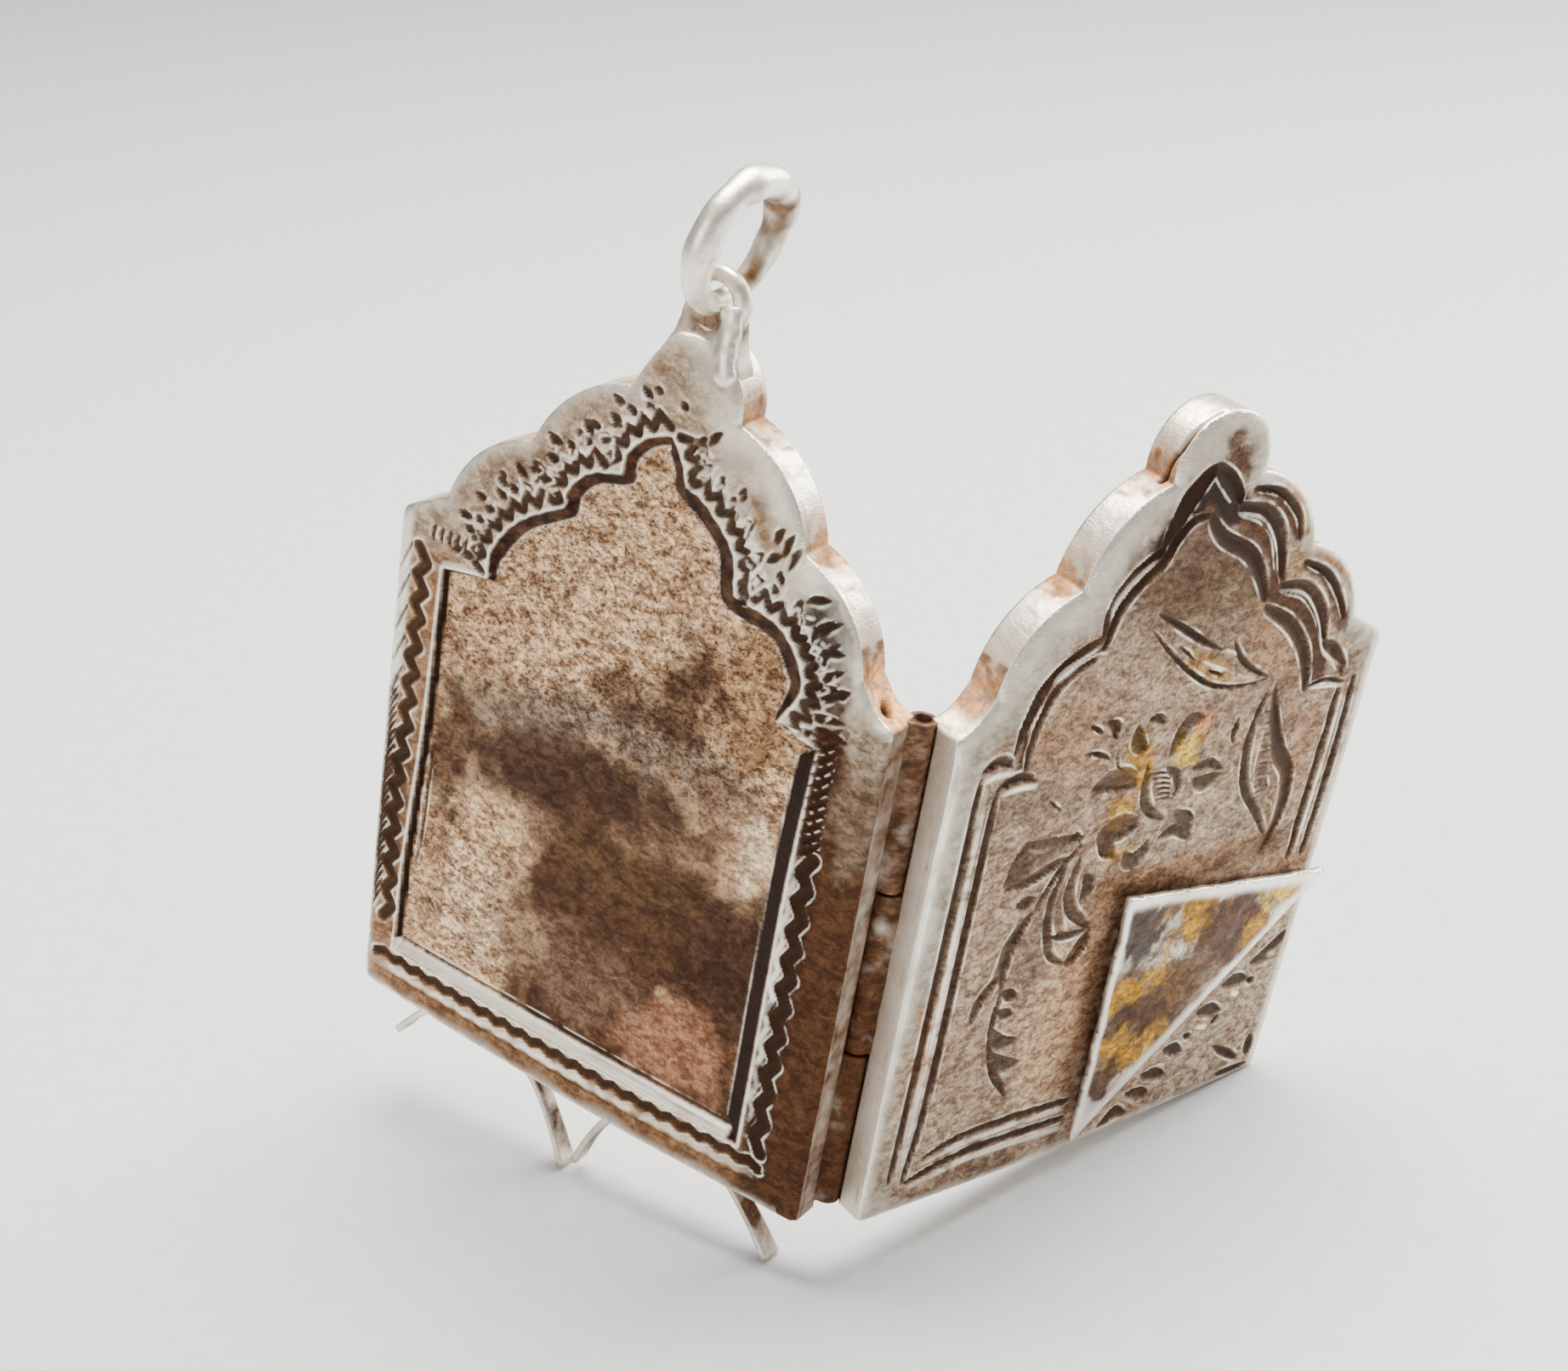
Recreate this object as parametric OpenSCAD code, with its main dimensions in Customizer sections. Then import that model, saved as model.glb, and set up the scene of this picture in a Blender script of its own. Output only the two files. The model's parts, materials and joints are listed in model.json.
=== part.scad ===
// Book locket: two engraved silver covers on a spine hinge, with a bail ring and ribbon feet
// Millimetres, +Z up. The locket stands half open on its feet, its spine towards -Y.
// Each cover is drawn flat: X from the hinge axis, Y up the spine, Z out to the cover's outer face.

/* [Cover] */
// Width of a cover, from the hinge axis to its free side
cover_w = 24; // [20:0.5:32]
// Height of the straight sides
side_h = 22.8; // [19:0.2:32]
// Rise of the lobed arch above the straight sides
arch_h = 11.6; // [10:0.2:16]
// How far the arch's middle lies from the cover's middle, towards the hinge
arch_in = 1.1; // [0:0.1:1.5]
// How far each side lobe bulges beyond its chord
lobe_bulge = 0.75; // [0.5:0.05:1.2]
// Depth of a cover, from the parting plane to its outer face
case_d = 2; // [1.8:0.1:3.5]
// Thickness of the outer plate
plate_t = 0.7; // [0.6:0.05:1]
// Thickness of the ribbon wall round a cover
wall_t = 0.5; // [0.4:0.05:0.8]
// Gap that each wall leaves at the parting plane
part_gap = 0.15; // [0.1:0.05:0.2]
// Angle between the covers as they stand
open_deg = 108; // [70:2:140]

/* [Window] */
// Depth of the sunken panel
window_depth = 0.35; // [0.2:0.05:0.45]
// Frame width on the hinge side
window_hinge_in = 3.5; // [3:0.1:4.5]
// Frame width on the free side
window_free_in = 2.1; // [1.6:0.1:3]
// Frame width at the foot
window_foot_in = 2.6; // [2:0.1:4]
// Height of the window's straight sides above the foot of the cover
window_side_h = 20.9; // [17:0.1:22]
// Step from the window's hinge side in to its arch
window_step_hinge = 1.1; // [0.5:0.1:2]
// Step from the window's free side in to its arch
window_step_free = 2.5; // [1:0.1:3]
// How far the arch's middle lies from the cover's middle, towards the hinge
window_arch_in = 0.6; // [0:0.1:1.2]
// Rise of the window's arch above its straight sides
window_arch_h = 9.5; // [7:0.1:10]
// How far the lobes of the window bulge beyond their chords
window_bulge = 0.65; // [0.4:0.05:0.9]

/* [Border] */
// Distance of the outer border groove from the hinge axis
border_in = 2; // [1.6:0.1:2.8]
// Distance of the outer border groove from the free side
border_free_in = 1.3; // [0.8:0.1:2.4]
// Height of the border groove above the foot of the cover
border_foot_in = 1.4; // [1:0.1:3]
// Height at which the border steps in to its arch
border_side_h = 21.2; // [17:0.1:22]
// Step from the border's hinge side in to its arch
border_step_hinge = 1.7; // [0.8:0.1:2.5]
// Step from the border's free side in to its arch
border_step_free = 1.1; // [0.6:0.1:2]
// How far the arch's middle lies from the cover's middle, towards the hinge
border_arch_in = 1; // [0:0.1:1.5]
// Rise of the border's arch above its straight sides
border_arch_h = 11.2; // [8:0.1:11.5]
// How far the lobes of the border bulge beyond their chords
border_bulge = 0.7; // [0.4:0.05:1]
// Width of each border groove
groove_w = 0.35; // [0.2:0.05:0.5]
// Distance from one border groove to the next
groove_pitch = 0.8; // [0.6:0.05:1]
// Depth of the border grooves
groove_depth = 0.15; // [0.1:0.05:0.25]

/* [Folded corner] */
// Height at which the folded corner meets the free side
flap_side = 10.2; // [7:0.2:13]
// Distance from the free side at which it meets the foot
flap_foot = 11.6; // [8:0.2:14]
// How far the fold runs past the free side
flap_over = 0.9; // [0:0.1:1.2]
// Distance of its loose tip from the free side
flap_tip_in = 12.6; // [9:0.1:15]
// Height of its loose tip
flap_tip_h = 13; // [9:0.2:16]
// Thickness of the folded sheet
flap_t = 0.35; // [0.25:0.05:0.5]
// Angle at which the sheet stands off the cover
flap_lift = 4.5; // [2:0.5:8]

/* [Hinge] */
// Outer diameter of the knuckles
knuckle_d = 1.1; // [1:0.05:1.4]
// Number of knuckles, the first and last on the window cover
knuckle_count = 3; // [3:2:5]
// Diameter of the hinge pin
pin_d = 0.5; // [0.4:0.05:0.6]
// Radial clearance between pin and knuckle
pin_clear = 0.05; // [0.03:0.01:0.08]
// Gap between neighbouring knuckles
knuckle_gap = 0.15; // [0.1:0.05:0.3]
// Clearance round a knuckle in the other cover
barrel_clear = 0.15; // [0.1:0.05:0.25]
// Distance of each spine wall from the hinge axis
spine_in = 0.15; // [0.1:0.05:0.25]
// How far the pin's ends lie inside the knuckles
pin_in = 0.3; // [0.1:0.1:0.8]

/* [Catch] */
// Length of the catch lip along the free side
lip_len = 8; // [5:0.5:12]
// How far the lip reaches past the parting plane
lip_reach = 0.6; // [0.4:0.1:0.9]
// Thickness of the lip
lip_t = 0.3; // [0.2:0.05:0.4]
// Clearance between the lip and the wall that it snaps into
lip_clear = 0.15; // [0.1:0.05:0.25]

/* [Bail] */
// Width of the neck under the eye
neck_w = 2.3; // [2:0.1:3]
// Thickness of the neck, front to back
neck_t = 1.2; // [0.9:0.1:1.6]
// Height of the eye's centre above the top of the cover
eye_rise = 1.35; // [1.3:0.05:2]
// Diameter of the eye's hole
eye_hole_d = 1.4; // [1.3:0.05:1.7]
// Thickness of the eye's wire
eye_wire_d = 0.75; // [0.6:0.05:0.9]

/* [Suspension ring] */
// Outer diameter of the ring
ring_od = 6.2; // [5.6:0.1:8]
// Thickness of the ring's wire
ring_wire_d = 1; // [0.8:0.05:1.05]
// Lean of the ring towards the hinge
ring_lean = 12; // [0:1:20]

/* [Feet] */
// Drop of the lowest foot below the cover
foot_h = 5; // [3:0.1:6]
// Thickness of the foot ribbons
foot_t = 0.4; // [0.3:0.05:0.6]
// Width of the foot ribbons, front to back
foot_w = 1; // [0.8:0.1:1.2]
// Distance of the ribbons behind the cover's outer face
foot_in = 0.5; // [0.3:0.1:0.6]

/* [Hidden] */

ROUND = 96;
SEAT = 0.1;
NOTCH_IN = 0.08;
WINDOW_COVER = -1;
FLOWER_COVER = 1;
GROOVE_COUNT = 2;

// Notches of an arch, from its side inwards: [share of the way to its middle, share of its rise]
COVER_NOTCHES = [[0.17, 0.107], [0.472, 0.439], [0.8, 0.765]];
WINDOW_NOTCHES = [[0, 0.03], [0.45, 0.49], [0.8, 0.79]];
BORDER_NOTCHES = [[0, 0.04], [0.45, 0.44], [0.8, 0.79]];

// Foot ribbons as cubic curves: [share of the cover's width, share of the lowest foot's drop]
FAR_FOOT = [[0.925, -0.58], [0.80, 0.30], [0.65, 0.42], [0.515, -1]];
NEAR_FOOT = [[0.488, -0.86], [0.41, 0.38], [0.235, 0.38], [0.063, -0.7]];
FOOT_STEPS = 16;

// Side of the neck, from its flare upwards: [share of its width, share of the eye's rise below the eye]
NECK_SIDE = [[0.85, 1.9], [0.58, 1], [0.5, 0.5]];

swing = (180 - open_deg) / 2;
mid_u = cover_w / 2 - arch_in;
apex_h = side_h + arch_h;
cavity_top = case_d - plate_t;
eye_v = apex_h + eye_rise;
eye_w = case_d / 2;
eye_r = (eye_hole_d + eye_wire_d) / 2;
ring_r = (ring_od - ring_wire_d) / 2;
knuckle_pitch = side_h / knuckle_count;
bore_d = pin_d + 2 * pin_clear;
barrel_d = knuckle_d + 2 * barrel_clear;
lip_face = cover_w - wall_t - lip_clear;
fold_side = [cover_w, flap_side];
fold_foot = [cover_w - flap_foot, 0];
flap_tip = [cover_w - flap_tip_in, flap_tip_h];
foot_back = case_d - foot_in - foot_w;

function unit(p) = p / norm(p);
function left_of(p) = [-p.y, p.x];

// Circle through p and q whose arc bulges to the right of the way from p to q: [centre, radius]
function lobe(p, q, bulge) =
    let (half = norm(q - p) / 2)
    let (r = (half * half + bulge * bulge) / (2 * bulge))
    [(p + q) / 2 + left_of(unit(q - p)) * (r - bulge), r];

// Corner b of an anticlockwise outline, moved inwards by d from the sides that meet there
function inset_corner(a, b, c, d) =
    let (n1 = left_of(unit(b - a)))
    let (n2 = left_of(unit(c - b)))
    b + (n1 + n2) * d / (1 + n1 * n2);

function inset(points, d) =
    let (n = len(points))
    [for (i = [0:n - 1]) inset_corner(points[(i + n - 1) % n], points[i], points[(i + 1) % n], d)];

// Cubic curve with control points c: its point and its direction at t, and its edge at an offset
function curve_at(c, t) =
    c[0] * pow(1 - t, 3) + 3 * c[1] * t * pow(1 - t, 2) + 3 * c[2] * t * t * (1 - t) + c[3] * pow(t, 3);
function curve_dir(c, t) =
    unit((c[1] - c[0]) * pow(1 - t, 2) + 2 * (c[2] - c[1]) * t * (1 - t) + (c[3] - c[2]) * t * t);
function curve_edge(c, t, offset) = curve_at(c, t) + left_of(curve_dir(c, t)) * offset;
function foot_curve(table) = [for (row = table) [row[0] * cover_w, row[1] * foot_h]];

// A point of a flat-drawn cover carried to its open place, before the locket leans
function opened_point(side, p) =
    [side * (p.x * cos(swing) + p.z * sin(swing)), p.x * sin(swing) - p.z * cos(swing), p.y];

// The points that touch the ground: two foot tips and the flower cover's lower corner
function foot_tip(table) =
    let (tip = curve_edge(foot_curve(table), 1, foot_t / 2))
    opened_point(WINDOW_COVER, [tip.x, tip.y, foot_back]);
rest_far = foot_tip(FAR_FOOT);
rest_near = foot_tip(NEAR_FOOT);
rest_corner = opened_point(FLOWER_COVER, [cover_w, 0, case_d]);

ground_up = unit(cross(rest_near - rest_far, rest_corner - rest_far));
lean_deg = acos(ground_up.z);
lean_axis = unit(cross(ground_up, [0, 0, 1]));

function leaned(p) =
    p * cos(lean_deg) + cross(lean_axis, p) * sin(lean_deg)
    + lean_axis * (lean_axis * p) * (1 - cos(lean_deg));

// Both covers' corners, the fold's end and the catch lip span the locket's box in X and Y
box_corners = [
    for (side = [WINDOW_COVER, FLOWER_COVER], u = [spine_in, cover_w], v = [0, side_h], w = [part_gap, case_d])
        leaned(opened_point(side, [u, v, w]))
];
fold_over = fold_side + unit(fold_side - fold_foot) * flap_over;
fold_end = leaned(opened_point(FLOWER_COVER, [fold_over.x, fold_over.y, case_d]));
lip_ends = [
    for (v = [side_h - lip_len, side_h + lip_len] / 2)
        leaned(opened_point(WINDOW_COVER, [lip_face, v, -lip_reach]))
];
box_x = [for (p = concat(box_corners, [fold_end])) p.x];
box_y = [for (p = concat(box_corners, lip_ends)) p.y];
ground_z = min([for (p = [rest_far, rest_near, rest_corner]) leaned(p).z]);
shift = -[(min(box_x) + max(box_x)) / 2, (min(box_y) + max(box_y)) / 2, ground_z];

module standing() {
    translate(shift) rotate(a = lean_deg, v = lean_axis) children();
}

// The window cover is drawn as the mirror image of the flower cover
module opened(side) {
    standing()
    mirror([side == WINDOW_COVER ? 1 : 0, 0, 0])
    rotate([90, 0, swing])
    children();
}

module disc(circle, h, d) {
    translate([circle[0].x, circle[0].y, 0]) cylinder(h = h, r = circle[1] - d, $fn = ROUND);
}

// A rectangle between two sides under a lobed arch between two springings, moved inwards by d
module lobed(sides, foot, side_top, springs, mid, rise, notches, bulge, pointed, h, d = 0) {
    last = len(notches) - 1;
    up = [for (n = notches) [springs[1] + (mid - springs[1]) * n[0], side_top + rise * n[1]]];
    down = [for (n = notches) [springs[0] + (mid - springs[0]) * n[0], side_top + rise * n[1]]];
    tip = [mid, side_top + rise];
    // The polygon's own notches lie a little inside, so that the lobes alone form the visible ones
    inner_up = [for (p = up) p - [NOTCH_IN, NOTCH_IN]];
    inner_down = [for (i = [last:-1:0]) down[i] + [NOTCH_IN, -NOTCH_IN]];
    right = concat([[sides[1], foot], [sides[1], side_top]], inner_up);
    left = concat(inner_down, [[sides[0], side_top], [sides[0], foot]]);
    linear_extrude(h) polygon(inset(concat(right, pointed ? [tip] : [], left), d));
    for (i = [0:last - 1]) {
        disc(lobe(up[i], up[i + 1], bulge), h, d);
        disc(lobe(down[i + 1], down[i], bulge), h, d);
    }
    if (!pointed) disc(lobe(up[last], down[last], tip.y - down[last].y), h, d);
}

module cover_outline(h, d = 0) {
    lobed([spine_in, cover_w], 0, side_h, [0, cover_w], mid_u, arch_h, COVER_NOTCHES, lobe_bulge, false, h, d);
}

module window_outline(h) {
    sides = [window_hinge_in, cover_w - window_free_in];
    springs = sides + [window_step_hinge, -window_step_free];
    mid = cover_w / 2 - window_arch_in;
    lobed(sides, window_foot_in, window_side_h, springs, mid, window_arch_h, WINDOW_NOTCHES,
        window_bulge, true, h);
}

module border_outline(h, d) {
    sides = [border_in, cover_w - border_free_in];
    springs = sides + [border_step_hinge, -border_step_free];
    mid = cover_w / 2 - border_arch_in;
    lobed(sides, border_foot_in, border_side_h, springs, mid, border_arch_h, BORDER_NOTCHES,
        border_bulge, true, h, d);
}

// A shallow pan: the outer plate and the ribbon wall round it
module pan() {
    difference() {
        translate([0, 0, part_gap]) cover_outline(case_d - part_gap);
        translate([0, 0, part_gap - SEAT]) cover_outline(cavity_top - part_gap + SEAT, wall_t);
    }
}

module along_spine(from, to, d) {
    translate([0, from, 0]) rotate([-90, 0, 0]) cylinder(h = to - from, d = d, $fn = ROUND);
}

// Knuckles of one cover: the window cover has the first and every second one after it
module knuckles(side) {
    first = side == WINDOW_COVER ? 0 : 1;
    for (i = [first:2:knuckle_count - 1]) {
        along_spine(i * knuckle_pitch + knuckle_gap / 2, (i + 1) * knuckle_pitch - knuckle_gap / 2, knuckle_d);
    }
}

// Room in one cover for the other cover's knuckles
module barrel_room(side) {
    first = side == WINDOW_COVER ? 1 : 0;
    for (i = [first:2:knuckle_count - 1]) {
        along_spine(i * knuckle_pitch - knuckle_gap / 2, (i + 1) * knuckle_pitch + knuckle_gap / 2, barrel_d);
    }
}

module hinged_pan(side) {
    difference() {
        union() {
            difference() {
                pan();
                barrel_room(side);
            }
            knuckles(side);
        }
        along_spine(-SEAT, side_h + SEAT, bore_d);
    }
}

module catch_lip() {
    translate([lip_face - lip_t, (side_h - lip_len) / 2, -lip_reach])
        cube([lip_t, lip_len, lip_reach + cavity_top + SEAT]);
    translate([lip_face - SEAT, (side_h - lip_len) / 2, case_d / 2])
        cube([lip_clear + 2 * SEAT, lip_len, cavity_top + SEAT - case_d / 2]);
}

module bail() {
    last = len(NECK_SIDE) - 1;
    right = [for (row = NECK_SIDE) [mid_u + row[0] * neck_w, eye_v - row[1] * eye_rise]];
    left = [for (i = [last:-1:0]) [mid_u - NECK_SIDE[i][0] * neck_w, eye_v - NECK_SIDE[i][1] * eye_rise]];
    translate([0, 0, eye_w - neck_t / 2])
        linear_extrude(neck_t) polygon(concat(right, left));
    translate([mid_u, eye_v, eye_w])
        rotate_extrude($fn = ROUND) translate([eye_r, 0]) circle(d = eye_wire_d, $fn = ROUND / 2);
}

module foot_ribbon(table) {
    curve = foot_curve(table);
    steps = [for (i = [0:FOOT_STEPS]) i / FOOT_STEPS];
    outer = [for (t = steps) curve_edge(curve, t, foot_t / 2)];
    inner = [for (t = steps) curve_edge(curve, 1 - t, -foot_t / 2)];
    translate([0, 0, foot_back]) linear_extrude(foot_w) polygon(concat(outer, inner));
}

module border_grooves() {
    difference() {
        for (i = [0:GROOVE_COUNT - 1]) {
            difference() {
                border_outline(groove_depth + SEAT, i * groove_pitch);
                translate([0, 0, -SEAT]) border_outline(groove_depth + 3 * SEAT, i * groove_pitch + groove_w);
            }
        }
        translate([0, 0, -SEAT])
            linear_extrude(groove_depth + 3 * SEAT)
            polygon([flap_tip, fold_foot - [0, SEAT], [cover_w, -SEAT], fold_side]);
    }
}

// A loose sheet hinged up about its fold, with the fold itself as a round bead on the cover
module folded_corner() {
    way = fold_foot - fold_side;
    fold_len = norm(way);
    across = unit(way);
    tip = flap_tip - fold_side;
    tip_along = tip * across;
    tip_out = -(tip * left_of(across));
    translate([fold_side.x, fold_side.y, case_d])
    rotate([0, 0, atan2(way.y, way.x)]) {
        rotate([-flap_lift, 0, 0])
            translate([0, 0, -flap_t / 2])
            linear_extrude(flap_t)
            polygon([[-flap_over, 0], [fold_len, 0], [tip_along, -tip_out]]);
        translate([-flap_over, 0, 0])
            rotate([0, 90, 0]) cylinder(h = fold_len + flap_over, d = flap_t, $fn = ROUND / 2);
    }
}

module window_cover() {
    color("silver")
    opened(WINDOW_COVER) {
        difference() {
            hinged_pan(WINDOW_COVER);
            translate([0, 0, case_d - window_depth]) window_outline(window_depth + SEAT);
        }
        catch_lip();
        bail();
        foot_ribbon(FAR_FOOT);
        foot_ribbon(NEAR_FOOT);
    }
}

module flower_cover() {
    color("gainsboro")
    opened(FLOWER_COVER) {
        difference() {
            hinged_pan(FLOWER_COVER);
            translate([0, 0, case_d - groove_depth]) border_grooves();
        }
        folded_corner();
    }
}

module hinge_pin() {
    color("dimgray")
    opened(WINDOW_COVER)
    along_spine(pin_in, side_h - pin_in, pin_d);
}

module suspension_ring() {
    color("whitesmoke")
    opened(WINDOW_COVER)
    translate([mid_u, eye_v, eye_w])
    rotate([0, 0, ring_lean])
    translate([0, ring_r, 0])
    rotate([0, 90, 0])
    rotate_extrude($fn = ROUND) translate([ring_r, 0]) circle(d = ring_wire_d, $fn = ROUND / 2);
}

window_cover();
flower_cover();
hinge_pin();
suspension_ring();
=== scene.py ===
import json
import math

import bpy
import numpy as np
from mathutils import Matrix, Vector, noise
from mathutils.geometry import delaunay_2d_cdt

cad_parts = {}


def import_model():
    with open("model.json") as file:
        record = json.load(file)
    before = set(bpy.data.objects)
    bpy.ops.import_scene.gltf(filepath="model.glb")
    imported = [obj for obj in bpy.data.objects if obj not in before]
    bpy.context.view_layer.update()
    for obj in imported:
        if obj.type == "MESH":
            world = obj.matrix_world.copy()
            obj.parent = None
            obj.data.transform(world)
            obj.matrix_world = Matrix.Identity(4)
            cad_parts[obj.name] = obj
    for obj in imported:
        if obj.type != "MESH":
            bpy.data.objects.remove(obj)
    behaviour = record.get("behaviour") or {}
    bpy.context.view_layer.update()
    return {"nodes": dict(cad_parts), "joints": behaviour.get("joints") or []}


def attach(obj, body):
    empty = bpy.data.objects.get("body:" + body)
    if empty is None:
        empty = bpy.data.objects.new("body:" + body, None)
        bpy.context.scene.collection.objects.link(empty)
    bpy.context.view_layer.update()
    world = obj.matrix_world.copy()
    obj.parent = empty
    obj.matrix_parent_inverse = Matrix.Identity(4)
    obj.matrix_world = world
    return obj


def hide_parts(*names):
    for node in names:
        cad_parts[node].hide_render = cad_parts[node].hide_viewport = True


# Book locket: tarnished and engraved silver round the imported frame
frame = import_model()

# Sizes in millimetres, the same as the CAD source's
MM = 0.001
COVER_W = 24.0
SIDE_H = 22.8
ARCH_H = 11.6
MID_U = 10.9
LOBE_BULGE = 0.75
COVER_NOTCHES = ((0.17, 0.107), (0.472, 0.439), (0.8, 0.765))
CASE_D = 2.0
PLATE_T = 0.7
WALL_T = 0.5
PART_GAP = 0.15
SPINE_IN = 0.15
OPEN_DEG = 108.0
WINDOW_DEPTH = 0.35
BORE_R = 0.3
KNUCKLE_COUNT = 3
KNUCKLE_GAP = 0.15
LIP_LEN = 8.0
LIP_REACH = 0.6
LIP_T = 0.3
LIP_CLEAR = 0.15
EYE_RISE = 1.35
EYE_R = 1.075
EYE_WIRE_R = 0.375
RING_R = 2.6
RING_WIRE_R = 0.5
RING_LEAN = 12.0
FOOT_H = 5.0
FOOT_T = 0.4
FOOT_W = 1.0
FOOT_IN = 0.5
FAR_FOOT = ((0.925, -0.58), (0.80, 0.30), (0.65, 0.42), (0.515, -1))
NEAR_FOOT = ((0.488, -0.86), (0.41, 0.38), (0.235, 0.38), (0.063, -0.7))
FLAP_SIDE = 10.2
FLAP_FOOT = 12.0
FLAP_OVER = 0.9
FLAP_TIP = (11.0, 13.35)
FLAP_T = 0.35
FLAP_LIFT = 4.5
APEX_H = SIDE_H + ARCH_H
EYE_V = APEX_H + EYE_RISE
CAVITY_TOP = CASE_D - PLATE_T

# Wear: rounded corners, foot edges that bow down, the window cover's deeper foot, hollow shoulders
# by the hinge, and the ring's drop
CORNER_R = 0.45
FOOT_BOW = 0.35
FOOT_DROP = 0.4
SHOULDER_SAG = 0.38
RING_DROP = 0.2

# Radii of the tarnished knuckles and of the hollow round them in the spine walls, and place and radius
# of the little hole in the window cover's shoulder
TUBE_R = 0.6
SCOOP_R = 0.65
HOLE_AT = (0.95, 1.05)
HOLE_R = 0.28

# Width and height of the bright burr beside each cut, worn bare and partly painted highlight, and the
# height of the seam round the wall
BURR_W = 0.085
BURR_H = 0.045
SEAM_W = 1.55

# The camera stands where the photograph's stood
CAMERA_AT = (-4.33, -83.83, 68.71)
CAMERA_AIM = (-3.19, 0.0, 23.81)
CAMERA_ROLL = 0.79
CAMERA_LENS = 55.3

# Patina colours
TAN = (0.36, 0.205, 0.105)
PALE_TAN = (0.66, 0.45, 0.275)
BROWN = (0.084, 0.035, 0.013)
DARK_BROWN = (0.020, 0.006, 0.002)
RED_BROWN = (0.42, 0.21, 0.125)
PURPLE = (0.050, 0.022, 0.013)
STEEL = (0.25, 0.185, 0.135)
UMBER = (0.088, 0.042, 0.020)
TAUPE = (0.24, 0.15, 0.098)
SILVER_GREY = (0.46, 0.38, 0.29)
PINK_GREY = (0.44, 0.33, 0.24)
CREAM = (0.80, 0.64, 0.45)
ORANGE = (0.72, 0.29, 0.08)
OCHRE = (0.17, 0.085, 0.03)
OLIVE = (0.12, 0.07, 0.028)
WALL_STAIN = (0.42, 0.21, 0.075)
LEDGE_STAIN = (0.78, 0.40, 0.15)
GOLD = (0.50, 0.27, 0.012)
YELLOW = (0.80, 0.56, 0.09)
GREY = (0.085, 0.07, 0.06)
BRIGHT = (0.88, 0.84, 0.76)
MARGIN_GREY = (0.34, 0.30, 0.245)
CUT_TONE = (0.036, 0.016, 0.008)
PIT_TONE = (0.022, 0.009, 0.005)


def unit(v):
    """Vector v at length 1."""
    v = np.asarray(v, float)
    return v / np.linalg.norm(v)


def turned(v, axis, angle):
    """Vector v turned about a unit axis by an angle in radians."""
    swung = v * math.cos(angle) + np.cross(axis, v) * math.sin(angle)
    return swung + axis * (axis @ v) * (1 - math.cos(angle))


def joint(name):
    """The frame's joint of that name."""
    return next(j for j in frame["joints"] if j["name"] == name)


class Cover:
    """One cover's axes in the frame: u from the hinge axis, v up the spine, w out of its face."""

    def __init__(self, body, node, normal, hand):
        self.body = body
        self.node = node
        self.hand = hand
        self.up = unit(joint("cover_hinge")["axis"])
        self.out = unit(normal - self.up * (self.up @ normal))
        self.along = hand * np.cross(self.up, self.out)
        self.origin = np.array(joint("cover_hinge")["pos_m"]) / MM - self.up * SIDE_H / 2

    def place(self, points):
        """Points in the frame's metres, from the cover's own millimetres."""
        p = np.asarray(points, float)
        return (self.origin + p[:, :1] * self.along + p[:, 1:2] * self.up + p[:, 2:3] * self.out) * MM


window_out = unit(joint("ring_swing")["axis"])
flower_out = turned(window_out, unit(joint("cover_hinge")["axis"]), math.radians(180 - OPEN_DEG))
WINDOW = Cover("window", "window_cover", window_out, -1)
FLOWER = Cover("flower", "flower_cover", flower_out, 1)


def ramp(x, start, width):
    """From 0 to 1 as x goes from start over the width, which is negative where the ramp falls."""
    return np.clip((x - start) / width, 0, 1)


def closed(loop):
    """A loop with its first point again at its end."""
    return np.vstack([loop, loop[:1]])


def outward(loop):
    """Unit normals at the points of an anticlockwise loop, pointing out."""
    way = np.roll(loop, -1, axis=0) - np.roll(loop, 1, axis=0)
    out = np.column_stack([way[:, 1], -way[:, 0]])
    return out / np.maximum(np.hypot(*out.T), 1e-9)[:, None]


# Noise over points, the same in every run
def wander(points, scale, seed, octaves=3):
    """Smooth noise from -1 to 1 at each point, with features of about the given size in mm."""
    p = np.asarray(points, float)
    if p.shape[1] == 2:
        p = np.column_stack([p, np.zeros(len(p))])
    q = p / scale + seed * 7.13
    return np.array([noise.fractal(Vector(r), 0.8, 2.0, octaves) for r in q])


def smooth(points, step=0.12):
    """A Catmull-Rom curve through the points, as a fine polyline."""
    p = np.asarray(points, float)
    if len(p) == 2:
        count = max(2, int(np.linalg.norm(p[1] - p[0]) / step))
        return p[0] + np.linspace(0, 1, count + 1)[:, None] * (p[1] - p[0])
    ring = [2 * p[0] - p[1], *p, 2 * p[-1] - p[-2]]
    made = []
    for a, b, c, d in zip(ring, ring[1:], ring[2:], ring[3:]):
        count = max(2, int(np.linalg.norm(c - b) / step))
        t = np.linspace(0, 1, count, endpoint=False)[:, None]
        made.append(0.5 * (2 * b + (c - a) * t + (2 * a - 5 * b + 4 * c - d) * t**2
                           + (3 * b - a - 3 * c + d) * t**3))
    return np.vstack(made + [p[-1:]])


def arc(start, end, bulge, step=0.12):
    """An arc from start to end that bulges to the right of the way, with its outward normals."""
    p, q = np.asarray(start, float), np.asarray(end, float)
    half = np.linalg.norm(q - p) / 2
    r = (half * half + bulge * bulge) / (2 * bulge)
    way = (q - p) / (2 * half)
    centre = (p + q) / 2 + np.array([-way[1], way[0]]) * (r - bulge)
    a = math.atan2(*(p - centre)[::-1])
    b = math.atan2(*(q - centre)[::-1])
    b += 2 * math.pi if b < a else 0
    t = np.linspace(a, b, max(3, int(r * (b - a) / step)) + 1)
    way_out = np.column_stack([np.cos(t), np.sin(t)])
    return centre + r * way_out, way_out


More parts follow.
